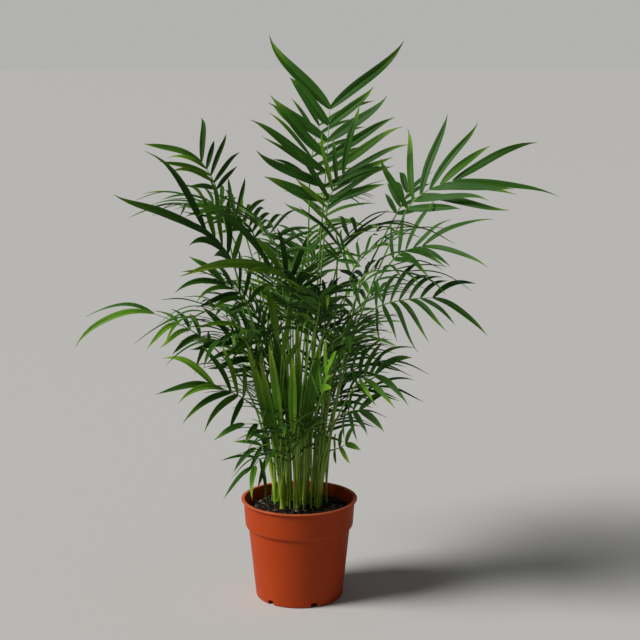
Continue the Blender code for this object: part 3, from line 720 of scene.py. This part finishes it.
def leaflet(frond, path, n, i, side, variant, t):
    """Centres, directions, upper-face vectors and full width of leaflet i on one side of frond n. Its line is
    base + length (t way + t^2/2 sweep rib - t^2/2 droop up)."""
    j = np.random.default_rng([SEED, n]).uniform(-1, 1, (8, 2, 5))[i, (side + 1) // 2]
    place, _ = stations(frond, path)
    base, rib = curve(*path[2:], place[i:i + 1])
    across, upper = frond_frame(frond, rib)
    base, rib, across, upper = base[0], rib[0], across[0], upper[0]
    s, end = i / (frond.pairs - 1), i == frond.pairs - 1
    chance, (extra_rise, narrower) = AT_END if end else ALONG, VARIANTS[variant]
    angle = np.radians(frond.spread[0] + (frond.spread[1] - frond.spread[0]) * s + chance.turn * j[0])
    rise = np.radians(frond.lift + extra_rise + chance.rise * j[1])
    way = np.cos(angle) * rib + np.sin(angle) * (side * across * np.cos(rise) + upper * np.sin(rise))
    share = frond.last if end else FIRST_LENGTH + LENGTH_RANGE * np.sin(np.pi * min(1, LENGTH_PEAK * s))
    length = frond.leaf * share * (1 + chance.length * j[2])
    width = frond.wide * (END_WIDER if end else 1) * (0.9 + WIDTH_CHANCE * j[3]) * narrower
    droop = frond.droop * (1 + chance.droop * j[4])
    t = np.asarray(t, float)[:, None]
    bend = frond.sweep * rib - droop * np.array([0, 0, 1.0])
    centres = base + length * (t * way + 0.5 * t * t * bend)
    ways = units(way + t * bend)
    return centres, ways, units(upper - ways * (ways @ upper)[:, None]), width


# %% The leaflets that the solids have
def grown(n):
    """The leaflets that frond n's solid has, as (i, side, variant). A corner of the solid lies at each
    tip."""
    corners = np.array([v.co for v in nodes["frond_%02d" % (n + 1)].data.vertices])
    for i in range(fronds[n].pairs):
        for side in (-1, 1):
            for variant in range(len(VARIANTS)):
                tip = leaflet(fronds[n], paths[n], n, i, side, variant, [1.0])[0][0]
                if np.linalg.norm(corners - tip, axis=1).min() < TIP_MATCH:
                    yield i, side, variant
                    break


blades = [(n, *row) for n in sorted(paths) for row in grown(n)]
print("leaflets in the solids:", len(blades))

# %% [markdown]
# ## Young fronds inside the crown
# Between the large fronds a real clump is full of young ones, too fine for the solids. Their leaflets
# follow the same rule, but their stalks rise from the compost among the canes. They are shorter and nearer
# to the middle, so the crown keeps its outline and thickens where the real one is dense.

# %% Young fronds
YOUNG, FIRST_YOUNG = 46, 100
YOUNG_REACH, YOUNG_HEIGHT = (0.022, 0.05), (0.205, 0.25)
YOUNG_RIB, YOUNG_LEAF, YOUNG_WIDE = (0.05, 0.04), (0.050, 0.035), 0.0085
YOUNG_FEET, BURIED = (0.008, 0.034), 0.001
YOUNG_BEND = np.array([0.25, 0.25, 0.62])


def young_frond(k):
    """Row and path of young frond k. Its neck stands at bearing u, height v and reach w, and its foot lies at
    start + range sqrt((k + 0.5) / YOUNG) from the clump's middle. Each pair of sizes is start and range."""
    u, v, w = wandering(k, (0.15, 0.35, 0.8))
    out = np.array([np.cos(2 * np.pi * u), np.sin(2 * np.pi * u), 0])
    reach = (YOUNG_REACH[0] + YOUNG_REACH[1] * w) * (0.55 + 0.9 * v)
    neck = reach * out + [0, 0.5 * CLUMP_BACK, YOUNG_HEIGHT[0] + YOUNG_HEIGHT[1] * v]
    tip = neck + (YOUNG_RIB[0] + YOUNG_RIB[1] * w) * (0.6 * out + [0, 0, 0.8 - 0.5 * w])
    row = Frond(neck, tip, np.degrees(2 * np.pi * u), 60 * (w - 0.5), 5 + int(3 * v),
                YOUNG_LEAF[0] + YOUNG_LEAF[1] * w, YOUNG_WIDE, (62, 24), droop=0.5)
    foot = (YOUNG_FEET[0] + YOUNG_FEET[1] * np.sqrt((k + 0.5) / YOUNG)) * out + [0, CLUMP_BACK, 0]
    foot[2] = soil_height(foot[0], foot[1]) - BURIED
    bend = foot + YOUNG_BEND * (neck - foot)
    return row, (foot, bend, neck, bow_point(bend, neck, tip), tip)


for k in range(YOUNG):
    n = FIRST_YOUNG + k
    fronds[n], paths[n] = young_frond(k)
    blades += [(n, i, side, 0) for i in range(fronds[n].pairs) for side in (-1, 1)]
print("leaflets with the young fronds:", len(blades))

# %% [markdown]
# ## Tubes for canes, stalks and ribs
# A stem is a circle carried along a line. The circle needs two directions across the line at each step.
# They come from one vector that is never along the stem, so the tube doesn't twist.

# %% Tube helper
UP, AWAY_FROM_VIEW = np.array([0.0, 0.0, 1.0]), np.array([0.0, 1.0, 0.0])


def tube(points, ways, radii, sides, level):
    """Points (rings, sides, 3) of a round tube: centre + radius (cos a side + sin a front), with front square
    to the line and to the vector level."""
    front = units(np.cross(ways, level))
    side = np.cross(front, ways)
    a = np.arange(sides) * 2 * np.pi / sides
    spoke = np.cos(a)[None, :, None] * side[:, None] + np.sin(a)[None, :, None] * front[:, None]
    return points[:, None] + np.asarray(radii).reshape(len(points), -1, 1) * spoke


class Heap:
    """Collects tubes into one mesh."""

    def __init__(self):
        self.points, self.faces, self.count = [], [], 0

    def add(self, rings):
        """Adds a tube, closed at both ends by a point in the middle of its first and last ring."""
        rows, sides = rings.shape[:2]
        self.points += [rings.reshape(-1, 3), np.array([rings[0].mean(0), rings[-1].mean(0)])]
        near = self.count + rows * sides
        self.faces += [block[:, ::-1] for block in closed(rows, sides, self.count, near, near + 1)]
        self.count = near + 2

    def made(self, name, look):
        return piece(name, np.concatenate(self.points), self.faces, [look])


# %% [markdown]
# Canes, stalks and leaf sheaths share one kind of skin: smooth and a little glossy, pale and yellowish near
# the compost where the light doesn't reach, and greener above. Height over the floor drives that change,
# and noise drawn out along the stem gives its fine streaks.


# %% Green stems
def stem_look(name, low, high, dark):
    """Green skin: paler and yellower near the soil, with fine lengthwise streaks and darker flecks."""
    look = Look(name, Specular_IOR_Level=0.5)
    where = look.place()
    _, _, height = look.axes(where)
    streaks = look.noise(900, 2, look.node("Mapping", None, {"Vector": where, "Scale": (1, 1, 0.05)}))
    patches = look.noise(45, 3, where)
    colour = look.mix((height + 0.06 * patches - 0.03).step(0.15, 0.42), low, high)
    colour = look.mix(patches.step(0.45, 0.8) * 0.6, colour, dark)
    colour = look.mix(streaks.step(0.5, 0.8) * 0.35, colour, low)
    return look.ends(Base_Color=colour, Roughness=0.36 + 0.2 * patches,
                     Normal=look.bump(streaks, 0.0003, 0.5))


cane_green = stem_look("green cane", (0.30, 0.42, 0.028), (0.13, 0.27, 0.018), (0.06, 0.16, 0.012))
stalk_green = stem_look("stalk green", (0.20, 0.34, 0.022), (0.11, 0.25, 0.016), (0.05, 0.14, 0.010))
sheath_green = stem_look("sheath green", (0.26, 0.38, 0.030), (0.14, 0.28, 0.020), (0.09, 0.20, 0.014))

# %% [markdown]
# Where an old leaf fell off, a cane keeps a ring: a swelling with a shallow groove beside it, every two
# centimetres or so. A bump in the material would not show against the light, so the radius itself changes.

# %% Canes with their rings
CANE_SIDES, CANE_RINGS, FLARE_SHARE = 18, 90, 0.05
RING_GAP, RING_GAP_RANGE = 0.016, 0.004
SWELLING, SWELLING_HALF = 0.10, 0.0011
GROOVE, GROOVE_PLACE, GROOVE_HALF = 0.04, 0.0022, 0.0012


def ringed_cane(k, cane):
    """Rings of cane k. Its radius tapers, flares at the foot as e^(-u / FLARE_SHARE), and at the distance d
    from each ring gains SWELLING e^(-(d / half)^2) and loses GROOVE e^(-((d - place) / half)^2)."""
    share = np.linspace(0, 1, CANE_RINGS)
    centres, radius = cane_point(cane, share[:, None])
    gap = RING_GAP + RING_GAP_RANGE * ((k * 0.37) % 1)
    along = share * np.linalg.norm(cane[1] - cane[0]) / gap + (k * 0.61) % 1
    near = np.abs((along + 0.5) % 1 - 0.5) * gap
    flare = 1 + (CANE_FLARE - 1) * np.exp(-share / FLARE_SHARE)
    swelling = SWELLING * np.exp(-(near / SWELLING_HALF) ** 2)
    groove = GROOVE * np.exp(-((near - GROOVE_PLACE) / GROOVE_HALF) ** 2)
    ways = np.repeat(unit(cane[1] - cane[0])[None], CANE_RINGS, 0)
    return tube(centres, ways, radius.ravel() * flare * (1 + swelling - groove), CANE_SIDES, AWAY_FROM_VIEW)


heap = Heap()
for k, cane in enumerate(canes):
    heap.add(ringed_cane(k, cane))
stems = heap.made("canes", cane_green)
print("canes:", triangles_of(stems), "triangles")

# %% [markdown]
# Bits of straw lie in the compost, pale against it, and one longer piece lies in front. Each is a short
# thin tube, pointed at both ends, that lies nearly flat.

# %% Straw on the compost
SLIVERS, STRAW_REACH, STRAW_LENGTH, STRAW_TILT = 46, 0.066, (0.003, 0.009), (-0.15, 0.35)
STRAW_RADII, STRAW_LIFT = 0.0004 * np.array([0.4, 1, 1, 1, 0.4]), 0.0016
LONG_STRAW = (np.array([-0.014, -0.036, 0]), np.radians(40), 0.017)
rng = np.random.default_rng(23)
heap = Heap()
for k in range(SLIVERS):
    r, a, turn = STRAW_REACH * np.sqrt(rng.uniform()), rng.uniform(0, 2 * np.pi), rng.uniform(0, 2 * np.pi)
    long = rng.uniform(*STRAW_LENGTH)
    spot = np.array([r * np.cos(a), r * np.sin(a), 0])
    if k == 0:
        spot, turn, long = LONG_STRAW
    way = np.array([np.cos(turn), np.sin(turn), rng.uniform(*STRAW_TILT)])
    line = spot + way * long * np.linspace(-0.5, 0.5, len(STRAW_RADII))[:, None]
    line[:, 2] += soil_height(spot[0], spot[1]) + STRAW_LIFT
    heap.add(tube(line, np.repeat(unit(way)[None], len(line), 0), STRAW_RADII, 5, UP))
straw = heap.made("straw", plain_look("straw", (0.20, 0.14, 0.07), (0.50, 0.42, 0.27), 500, 0.6))
print("straw:", triangles_of(straw), "triangles")

# %% [markdown]
# A stalk and its rib are one thread that gets thinner all the way. On the real plant the stalk's foot is a
# sheath wrapped round the cane, which opens where the stalk leaves. A sheath is made as one more tube whose
# line slides from the cane's axis to the stalk's, while its radius shrinks from the cane's to the stalk's.

# %% Stalks and ribs
STALK_SIDES, STALK_STEPS, RIB_STEPS = 7, 21, 16
STALK_FOOT, STALK_NECK, RIB_END, RIB_REACH = 0.00155, 0.0011, 0.00035, 0.995


def thread(path):
    """Rings from a stalk's foot to its rib's end. The vector across them is the normal of the plane in which
    the stalk arches, moved a little off it."""
    level = unit(np.cross(path[1] - path[0], path[2] - path[0]))
    low, low_ways = curve(*path[:3], np.linspace(0, 1, STALK_STEPS + 1)[:-1])
    high, high_ways = curve(*path[2:], np.linspace(0, RIB_REACH, RIB_STEPS))
    radii = np.concatenate([np.linspace(STALK_FOOT, STALK_NECK, STALK_STEPS),
                            np.linspace(STALK_NECK, RIB_END, RIB_STEPS)])
    return tube(np.concatenate([low, high]), np.concatenate([low_ways, high_ways]), radii, STALK_SIDES,
                level + 0.01)


heap = Heap()
for path in paths.values():
    heap.add(thread(path))
stalks = heap.made("stalks_and_ribs", stalk_green)
print("stalks:", triangles_of(stalks), "triangles")

# %% Leaf sheaths
SHEATH_STEPS, SHEATH_SIDES = 14, 12
SHEATH_ON_CANE, SHEATH_ON_STALK = 0.3, 0.07
SHEATH_SWELL, SHEATH_END = 0.0010, 0.0017


def smooth(u):
    """0 below 0, 1 above 1, and u^2 (3 - 2u) between."""
    u = np.clip(u, 0, 1)
    return u * u * (3 - 2 * u)


def sheath(path, cane, share):
    """Rings round the line (1 - leave) cane + leave stalk, where leave climbs from 0 to 1 over the upper
    half."""
    s = np.linspace(0, 1, SHEATH_STEPS)[:, None]
    leave = smooth((s - 0.5) / 0.5)
    on_cane = cane_point(cane, np.clip(share - SHEATH_ON_CANE * (1 - s), 0.02, 1))[0]
    centres = on_cane * (1 - leave) + curve(*path[:3], SHEATH_ON_STALK * s[:, 0])[0] * leave
    round_cane = cane_point(cane, share)[1] + SHEATH_SWELL * np.sin(np.pi * np.clip(s, 0.05, 1)) + AIR
    return tube(centres, units(np.gradient(centres, axis=0)), round_cane * (1 - leave) + SHEATH_END * leave,
                SHEATH_SIDES, AWAY_FROM_VIEW + 0.01 * UP)


heap = Heap()
for n, (k, share) in hosts.items():
    heap.add(sheath(paths[n], canes[k], share))
sheaths = heap.made("leaf_sheaths", sheath_green)
print("sheaths:", triangles_of(sheaths), "triangles")

# %% [markdown]
# ## The leaflets
# A leaflet is a narrow blade: pinched at its root, widest before the middle, and drawn out to a fine point.
# It folds a little along its midrib and each half bulges, so light breaks along it. One function of two
# parameters gives all of it, t from root to tip and s from edge to edge, and it is evaluated for every
# leaflet of the rule. The blade is a closed skin of upper side and underside, so both can have their
# colour.

# %% One leaflet
STEPS = 12
LEAF_T = np.linspace(0, 1, STEPS + 1) ** 0.92
ACROSS = np.array([-1, -0.5, 0, 0.5, 1])
THIN, BULGE = 0.00035, 0.12
WIDEST, PINCH, PINCH_FROM = 0.3806, 0.45, 0.8
COLUMNS = len(ACROSS) + 1


def outline(t):
    """Half width of a blade at t as a share of its widest: (t + 0.03)^0.6 (1 - t)^0.9, brought to 1 at its
    widest, and pinched once more over the last fifth."""
    full_shape = (t + 0.03) ** 0.6 * (1 - t) ** 0.9 / WIDEST
    return full_shape * (1 - PINCH * smooth((t - PINCH_FROM) / (1 - PINCH_FROM)))


def blade(centres, ways, faces, width, fold, twist, wave, curl, arch=0.0):
    """Rings of six points, then the tip. Point (t, s) is centre + half (s across + fold |s| up + bulge up),
    where bulge is BULGE (1 - (2|s| - 1)^2), and the sixth point lies under the rib. The blade turns about its
    rib by twist t^2, in radians. As shares of its length, the rib waves up and down by wave, bows sideways by
    curl and is arched up by arch, and all three leave its root and its tip where they are."""
    t = LEAF_T[:, None]
    across = np.cross(ways, faces)
    angle = twist * t * t
    over = across * np.cos(angle) + faces * np.sin(angle)
    up = faces * np.cos(angle) - across * np.sin(angle)
    length = np.linalg.norm(centres[-1] - centres[0])
    sway = wave * length * np.sin(2.2 * np.pi * t) * t * (1 - t)
    arched = np.array([0, 0, arch * length]) * np.sin(np.pi * t)
    centres = centres + up * sway + arched + across * curl * length * 4 * t ** 3 * (1 - t)
    half = 0.5 * width * outline(t[:, 0])[:-1, None, None]
    s = ACROSS[None, :, None]
    rise = fold * np.abs(s) + BULGE * (1 - (2 * np.abs(s) - 1) ** 2)
    upper = centres[:-1, None] + half * (s * over[:-1, None] + rise * up[:-1, None])
    under = centres[:-1, None] - (THIN + 0.05 * half) * up[:-1, None]
    return np.concatenate([np.concatenate([upper, under], 1).reshape(-1, 3), centres[-1:]])


# %% The leaflet's faces
def strip(a, b):
    """Four-cornered faces between columns a and b of the rings."""
    row = COLUMNS * np.arange(STEPS - 1)[:, None]
    return np.stack([row + a, row + b, row + COLUMNS + b, row + COLUMNS + a], -1).reshape(-1, 4)


upper_quads = np.concatenate([strip(c, c + 1) for c in range(4)])
under_quads = np.concatenate([strip(0, 5), strip(5, 4)])[:, ::-1]
last, point = COLUMNS * (STEPS - 1), COLUMNS * STEPS
upper_tips = np.array([[last + c, last + c + 1, point] for c in range(4)])
under_tips = np.array([[last, point, last + 5], [last + 5, point, last + 4]])
root = np.array([[0, 5, 4, 3, 2, 1]])
LEAF_FACES = [upper_quads, under_quads, upper_tips, under_tips, root]
print("a leaflet has", sum(len(block) * (block.shape[1] - 2) for block in LEAF_FACES), "triangles")

# %% [markdown]
# ## The leaf chart
# A thousand leaflets can share one little chart of colours, like a sheet of patterns: it has sixteen
# upright strips, eight for upper sides and eight for undersides, and each leaflet is laid on one of them
# from its root below to its tip above. The material then draws midrib, veins, pale base and dry tip by the
# place on the chart, and each strip draws its own chance numbers. Painting by Object coordinates would not
# do, because a pattern has to follow each blade wherever it points.

# %% Chart places
KINDS, STRIP_HALF, CHART_FOOT, CHART_LENGTH = 8, 0.45, 0.02, 0.96


def chart_of(s, t, under):
    """Place on the first strip for upper sides, or for undersides: (8 under + 0.5 + STRIP_HALF s) / 16 across
    and CHART_FOOT + CHART_LENGTH t up."""
    return np.stack([(KINDS * under + 0.5 + STRIP_HALF * s) / (2 * KINDS), CHART_FOOT + CHART_LENGTH * t], -1)


column_s = np.concatenate([ACROSS, [0.0]])
point_s = np.concatenate([np.tile(column_s, STEPS), [0.0]])
point_t = np.concatenate([np.repeat(LEAF_T[:-1], COLUMNS), [1.0]])
loops = [(block.ravel(), under) for block, under in zip(LEAF_FACES, (0, 1, 0, 1, 1))]
LOOP_UV = np.concatenate([chart_of(point_s[index], point_t[index], under) for index, under in loops])
print("chart:", len(LOOP_UV), "corners on each leaflet")


# %% Leaf greens
def leaf_look(name, deep, mid, tip, under, shine):
    """Leaf green read from the chart: across is -1 to 1 over the blade and along is 0 to 1 up it. The blade
    wavers between deep and mid, tip is also the tone of midrib and margin, and under is the underside's."""
    look = Look(name, Specular_IOR_Level=0.2)
    u, v, _ = look.axes(look.node("UVMap", {"uv_map": KEPT_MAP}))
    cell = u * (2 * KINDS)
    kind = cell.floor()
    below = (u - 0.5).step(-0.0001, 0.0001)
    across = (cell.fraction() - 0.5) * (1 / STRIP_HALF)
    along = (v - CHART_FOOT) * (1 / CHART_LENGTH)
    chance = look.node("TexWhiteNoise", {"noise_dimensions": "1D"}, {"W": kind + 3.3})
    second = look.node("TexWhiteNoise", {"noise_dimensions": "1D"}, {"W": kind + 17.7})
    rib = 1 - across.size().step(0.03, 0.11)
    ridges = (across * 22.0).sine()
    fine = (across * 61.0).sine()
    blotch = look.noise(1.0, 3, look.node("CombineXYZ", None, {0: cell * 2.3, 1: along * 5.0, 2: kind}))
    colour = look.mix(0.25 + 0.5 * chance + 0.5 * (blotch - 0.5), deep, mid)
    colour = look.mix((0.5 + 0.5 * ridges) * 0.18, colour, mid)
    colour = look.mix((1 - along.step(0.0, 0.16)) * 0.55, colour, mid)
    colour = look.mix(rib * 0.35, colour, tip)
    colour = look.mix(across.size().step(0.9, 1.0) * 0.3, colour, tip)
    colour = look.mix((along + 0.25 * second).step(0.80, 1.15), colour, tip)
    colour = look.mix(below * 0.6, colour, under)
    dry = (along + 0.03 * second).step(0.955, 0.995)
    colour = look.mix(dry * 0.8, colour, (0.12, 0.06, 0.02))
    height = ridges * 0.6 + fine * 0.25 + rib * -1.2
    return look.ends(Base_Color=colour, Roughness=shine + 0.2 * below + 0.12 * blotch,
                     Normal=look.bump(height, 0.0002, 0.55))


LEAF_LOOKS = {
    "deep": leaf_look("deep leaf green", (0.010, 0.052, 0.003), (0.028, 0.108, 0.006), (0.10, 0.22, 0.012),
                      (0.030, 0.075, 0.015), 0.42),
    "green": leaf_look("leaf green", (0.020, 0.080, 0.003), (0.050, 0.155, 0.006), (0.15, 0.27, 0.010),
                       (0.045, 0.115, 0.018), 0.44),
    "fresh": leaf_look("fresh leaf green", (0.060, 0.18, 0.010), (0.13, 0.29, 0.014), (0.26, 0.38, 0.025),
                       (0.12, 0.24, 0.03), 0.40),
}
print("greens:", ", ".join(LEAF_LOOKS))

# %% [markdown]
# Every leaflet of the rule now gets its blade. It is slimmer than the solid's, because a solid needs some
# width to be sound, and most of all where leaflets stand close together. A tone is dealt to it by chance:
# some fronds of the front are newly opened and mostly fresh, and those of the top and the upper right are
# nearly all deep; on the upper right that deep tone is painted shade of the side away from the light.

# %% Blades and tones
SLIM_FIRST, SLIM_TOP, SLIM_SEEN, SLIM_UNSEEN = 0.84, 0.6, 0.86, 0.66
# The top and upper right fronds are dealt nearly all deep; on the upper right this deep tone is painted
# shade.
TOP_FRONDS, DEEP_AND_SHADED_FRONDS, STRAIGHT = 3, 7, (0, 3, 18)
FRESH, FEW_FRESH = {14: 0.75, 24: 1.0, 25: 0.8, 19: 0.35, 12: 0.3, 18: 0.2}, 0.05
GREEN, FEW_GREEN = 0.4, 0.08
FOLD, FOLD_CHANCE, ARCH, ARCH_CHANCE = 0.25, 0.1, 0.055, 0.045
TWIST, WAVE, CURL = 0.8, 0.07, 0.12
rng = np.random.default_rng(5)
sorted_rows = {tone: [] for tone in LEAF_LOOKS}


def slimness(n):
    """The share of its solid's width that a blade on frond n keeps."""
    seen = SLIM_TOP if n < TOP_FRONDS else SLIM_SEEN
    return SLIM_FIRST if n == 0 else SLIM_UNSEEN if n >= len(SEEN) else seen


def fine_blade(n, i, side, variant):
    """The blade of one leaflet, with its own fold, twist, wave and curl. The long fronds' blades aren't
    arched, because they make the outline."""
    centres, ways, faces, width = leaflet(fronds[n], paths[n], n, i, side, variant, LEAF_T)
    j = rng.uniform(-1, 1, 4)
    arch = 0.0 if n in STRAIGHT else ARCH + ARCH_CHANCE * j[3]
    return blade(centres, ways, faces, slimness(n) * width, FOLD + FOLD_CHANCE * j[0], TWIST * j[1],
                 WAVE * j[2], CURL * j[3], arch)


def dealt_tone(n):
    """Fresh by frond n's share of fresh leaflets, otherwise green or deep. Deep on the upper right is painted
    shade.
    """
    if rng.uniform() < FRESH.get(n, FEW_FRESH):
        return "fresh"
    return "green" if rng.uniform() < (FEW_GREEN if n < DEEP_AND_SHADED_FRONDS else GREEN) else "deep"


for row in blades:
    points = fine_blade(*row)
    sorted_rows[dealt_tone(row[0])].append((points, int(rng.integers(KINDS))))
print("blades by tone:", {tone: len(rows) for tone, rows in sorted_rows.items()})

# %% [markdown]
# In the middle of the clump a few new blades stand upright like spears, wide and bright, before they open
# into fronds. They stand in a row that faces the viewer, each a little apart from the others in all it
# does.

# %% Spears
SPEARS, SPEAR_ROW, SPEAR_LENGTH, SPEAR_WIDTH = 11, 0.058, 0.135, 0.0125
SPEAR_FOOT, SPEAR_WAY = np.array([-0.042, -0.040, 0.255]), np.array([-0.22, -0.10, 1.0])
SPEAR_FAN, SPEAR_SAG, SPEAR_FOLD = 0.34, 0.10, 0.35
DEPTH_CHANCE, HEIGHT_CHANCE, LONG_CHANCE, WIDE_CHANCE = 0.012, 0.03, 0.025, 0.002
WAY_CHANCE, FACING_CHANCE = 0.06, 0.6
SPEAR_TWIST, SPEAR_WAVE, SPEAR_CURL = 0.5, 0.04, 0.03


def spear(u):
    """The blade at the share u of the row. Its line is foot + length (t way + sag t^2 (way's x, -0.5, -0.3)),
    and it faces the viewer, more or less."""
    j = rng.uniform(-1, 1, 5)
    foot = SPEAR_FOOT + [SPEAR_ROW * u, -DEPTH_CHANCE * j[0], HEIGHT_CHANCE * j[1]]
    way = unit(SPEAR_WAY + [SPEAR_FAN * u, WAY_CHANCE * j[2], 0])
    t = LEAF_T[:, None]
    long = SPEAR_LENGTH + LONG_CHANCE * j[3]
    centres = foot + long * (t * way + SPEAR_SAG * t * t * np.array([way[0], -0.5, -0.3]))
    ways = units(np.gradient(centres, axis=0))
    facing = np.array([FACING_CHANCE * j[4], -1.0, 0.1])
    faces = units(facing - ways * (ways @ facing)[:, None])
    return blade(centres, ways, faces, SPEAR_WIDTH + WIDE_CHANCE * j[1], SPEAR_FOLD, SPEAR_TWIST * j[2],
                 SPEAR_WAVE * j[3], SPEAR_CURL * j[0])


for k in range(SPEARS):
    tone = "green" if k % 3 == 1 else "fresh"
    sorted_rows[tone].append((spear(k / (SPEARS - 1)), int(rng.integers(KINDS))))


# %% Leaflets joined by tone
def leaves(tone, rows):
    """Joins blades, each with its points and its strip of the chart, to one mesh mapped to the chart."""
    shapes = np.stack([points for points, _ in rows])
    kinds = np.array([kind for _, kind in rows])
    faces = [block + shapes.shape[1] * k for k in range(len(rows)) for block in LEAF_FACES]
    uv = np.repeat(LOOP_UV[None], len(rows), 0)
    uv[..., 0] += kinds[:, None] / (2 * KINDS)
    return piece("leaflets_" + tone, shapes.reshape(-1, 3), faces, [LEAF_LOOKS[tone]],
                 loop_uv=uv.reshape(-1, 2))


leaf_pieces = [leaves(tone, rows) for tone, rows in sorted_rows.items()]
for ob in leaf_pieces:
    print(ob.name, triangles_of(ob), "triangles")

# %% [markdown]
# ## Floor and light
# The floor is one plain pale sheet, which isn't part of the plant. The light is that of a window: a broad
# sun lamp to the left and a little in front, 40 degrees above the floor, with a low grey sky to fill its
# shade. So dark a sky would show as a band where the floor ends, and rays that come straight from the
# camera therefore see the floor's tone there instead.

# %% Floor
FLOOR_REACH = 30
floor_corners = FLOOR_REACH * np.array([(-1, -1, 0), (1, -1, 0), (1, 1, 0), (-1, 1, 0)])
floor_look = Look("pale floor", Base_Color=(0.50, 0.497, 0.49, 1), Roughness=0.8)
ground = piece("floor", floor_corners, [[[0, 1, 2, 3]]], [floor_look.material])

# %% Light
FILL, SEEN_SKY = (0.13, 0.13, 0.13, 1), (0.45, 0.447, 0.44, 1)
SUN_POWER, SUN_WIDTH, SUN_COLOUR = 4.1, 24, (1.0, 0.985, 0.95)
SUN_TIP, SUN_TURN = 50, -72
scene = bpy.context.scene
scene.view_settings.view_transform = "Standard"
world = bpy.data.worlds.new("studio")
world.use_nodes = True
sky = world.node_tree
fill = sky.nodes["Background"]
fill.inputs["Color"].default_value = FILL
pale = sky.nodes.new("ShaderNodeBackground")
pale.inputs["Color"].default_value = SEEN_SKY
seen, chosen = sky.nodes.new("ShaderNodeLightPath"), sky.nodes.new("ShaderNodeMixShader")
sky.links.new(seen.outputs["Is Camera Ray"], chosen.inputs[0])
sky.links.new(fill.outputs[0], chosen.inputs[1])
sky.links.new(pale.outputs[0], chosen.inputs[2])
sky.links.new(chosen.outputs[0], sky.nodes["World Output"].inputs[0])
scene.world = world
sun = bpy.data.lights.new("key", "SUN")
sun.energy, sun.angle, sun.color = SUN_POWER, np.radians(SUN_WIDTH), SUN_COLOUR
key = bpy.data.objects.new("key", sun)
key.rotation_euler = (np.radians(SUN_TIP), 0, np.radians(SUN_TURN))
bpy.context.collection.objects.link(key)
print("sun:", SUN_WIDTH, "degrees wide")

# %% [markdown]
# ## What stands for what
# Each fine piece rides on the plant's one body and stands for the solids that it was grown from, which are
# hidden.

# %% Ride and replace
frond_names = ["frond_%02d" % (n + 1) for n in sorted(hosts)]
cane_names = ["cane_%02d" % (k + 1) for k in range(CANES)]
stand_ins = [(pot, "pot", ["pot"]), (soil, "soil", ["soil"]), (crumbs, "soil", ["soil"]),
             (straw, "soil", ["soil"]), (stems, "cane", cane_names), (sheaths, "cane", cane_names),
             (stalks, "frond", frond_names)]
stand_ins += [(ob, "frond", frond_names) for ob in leaf_pieces]
for ob, slot, stood_for in stand_ins:
    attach(ob, "root")
    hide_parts(*stood_for)
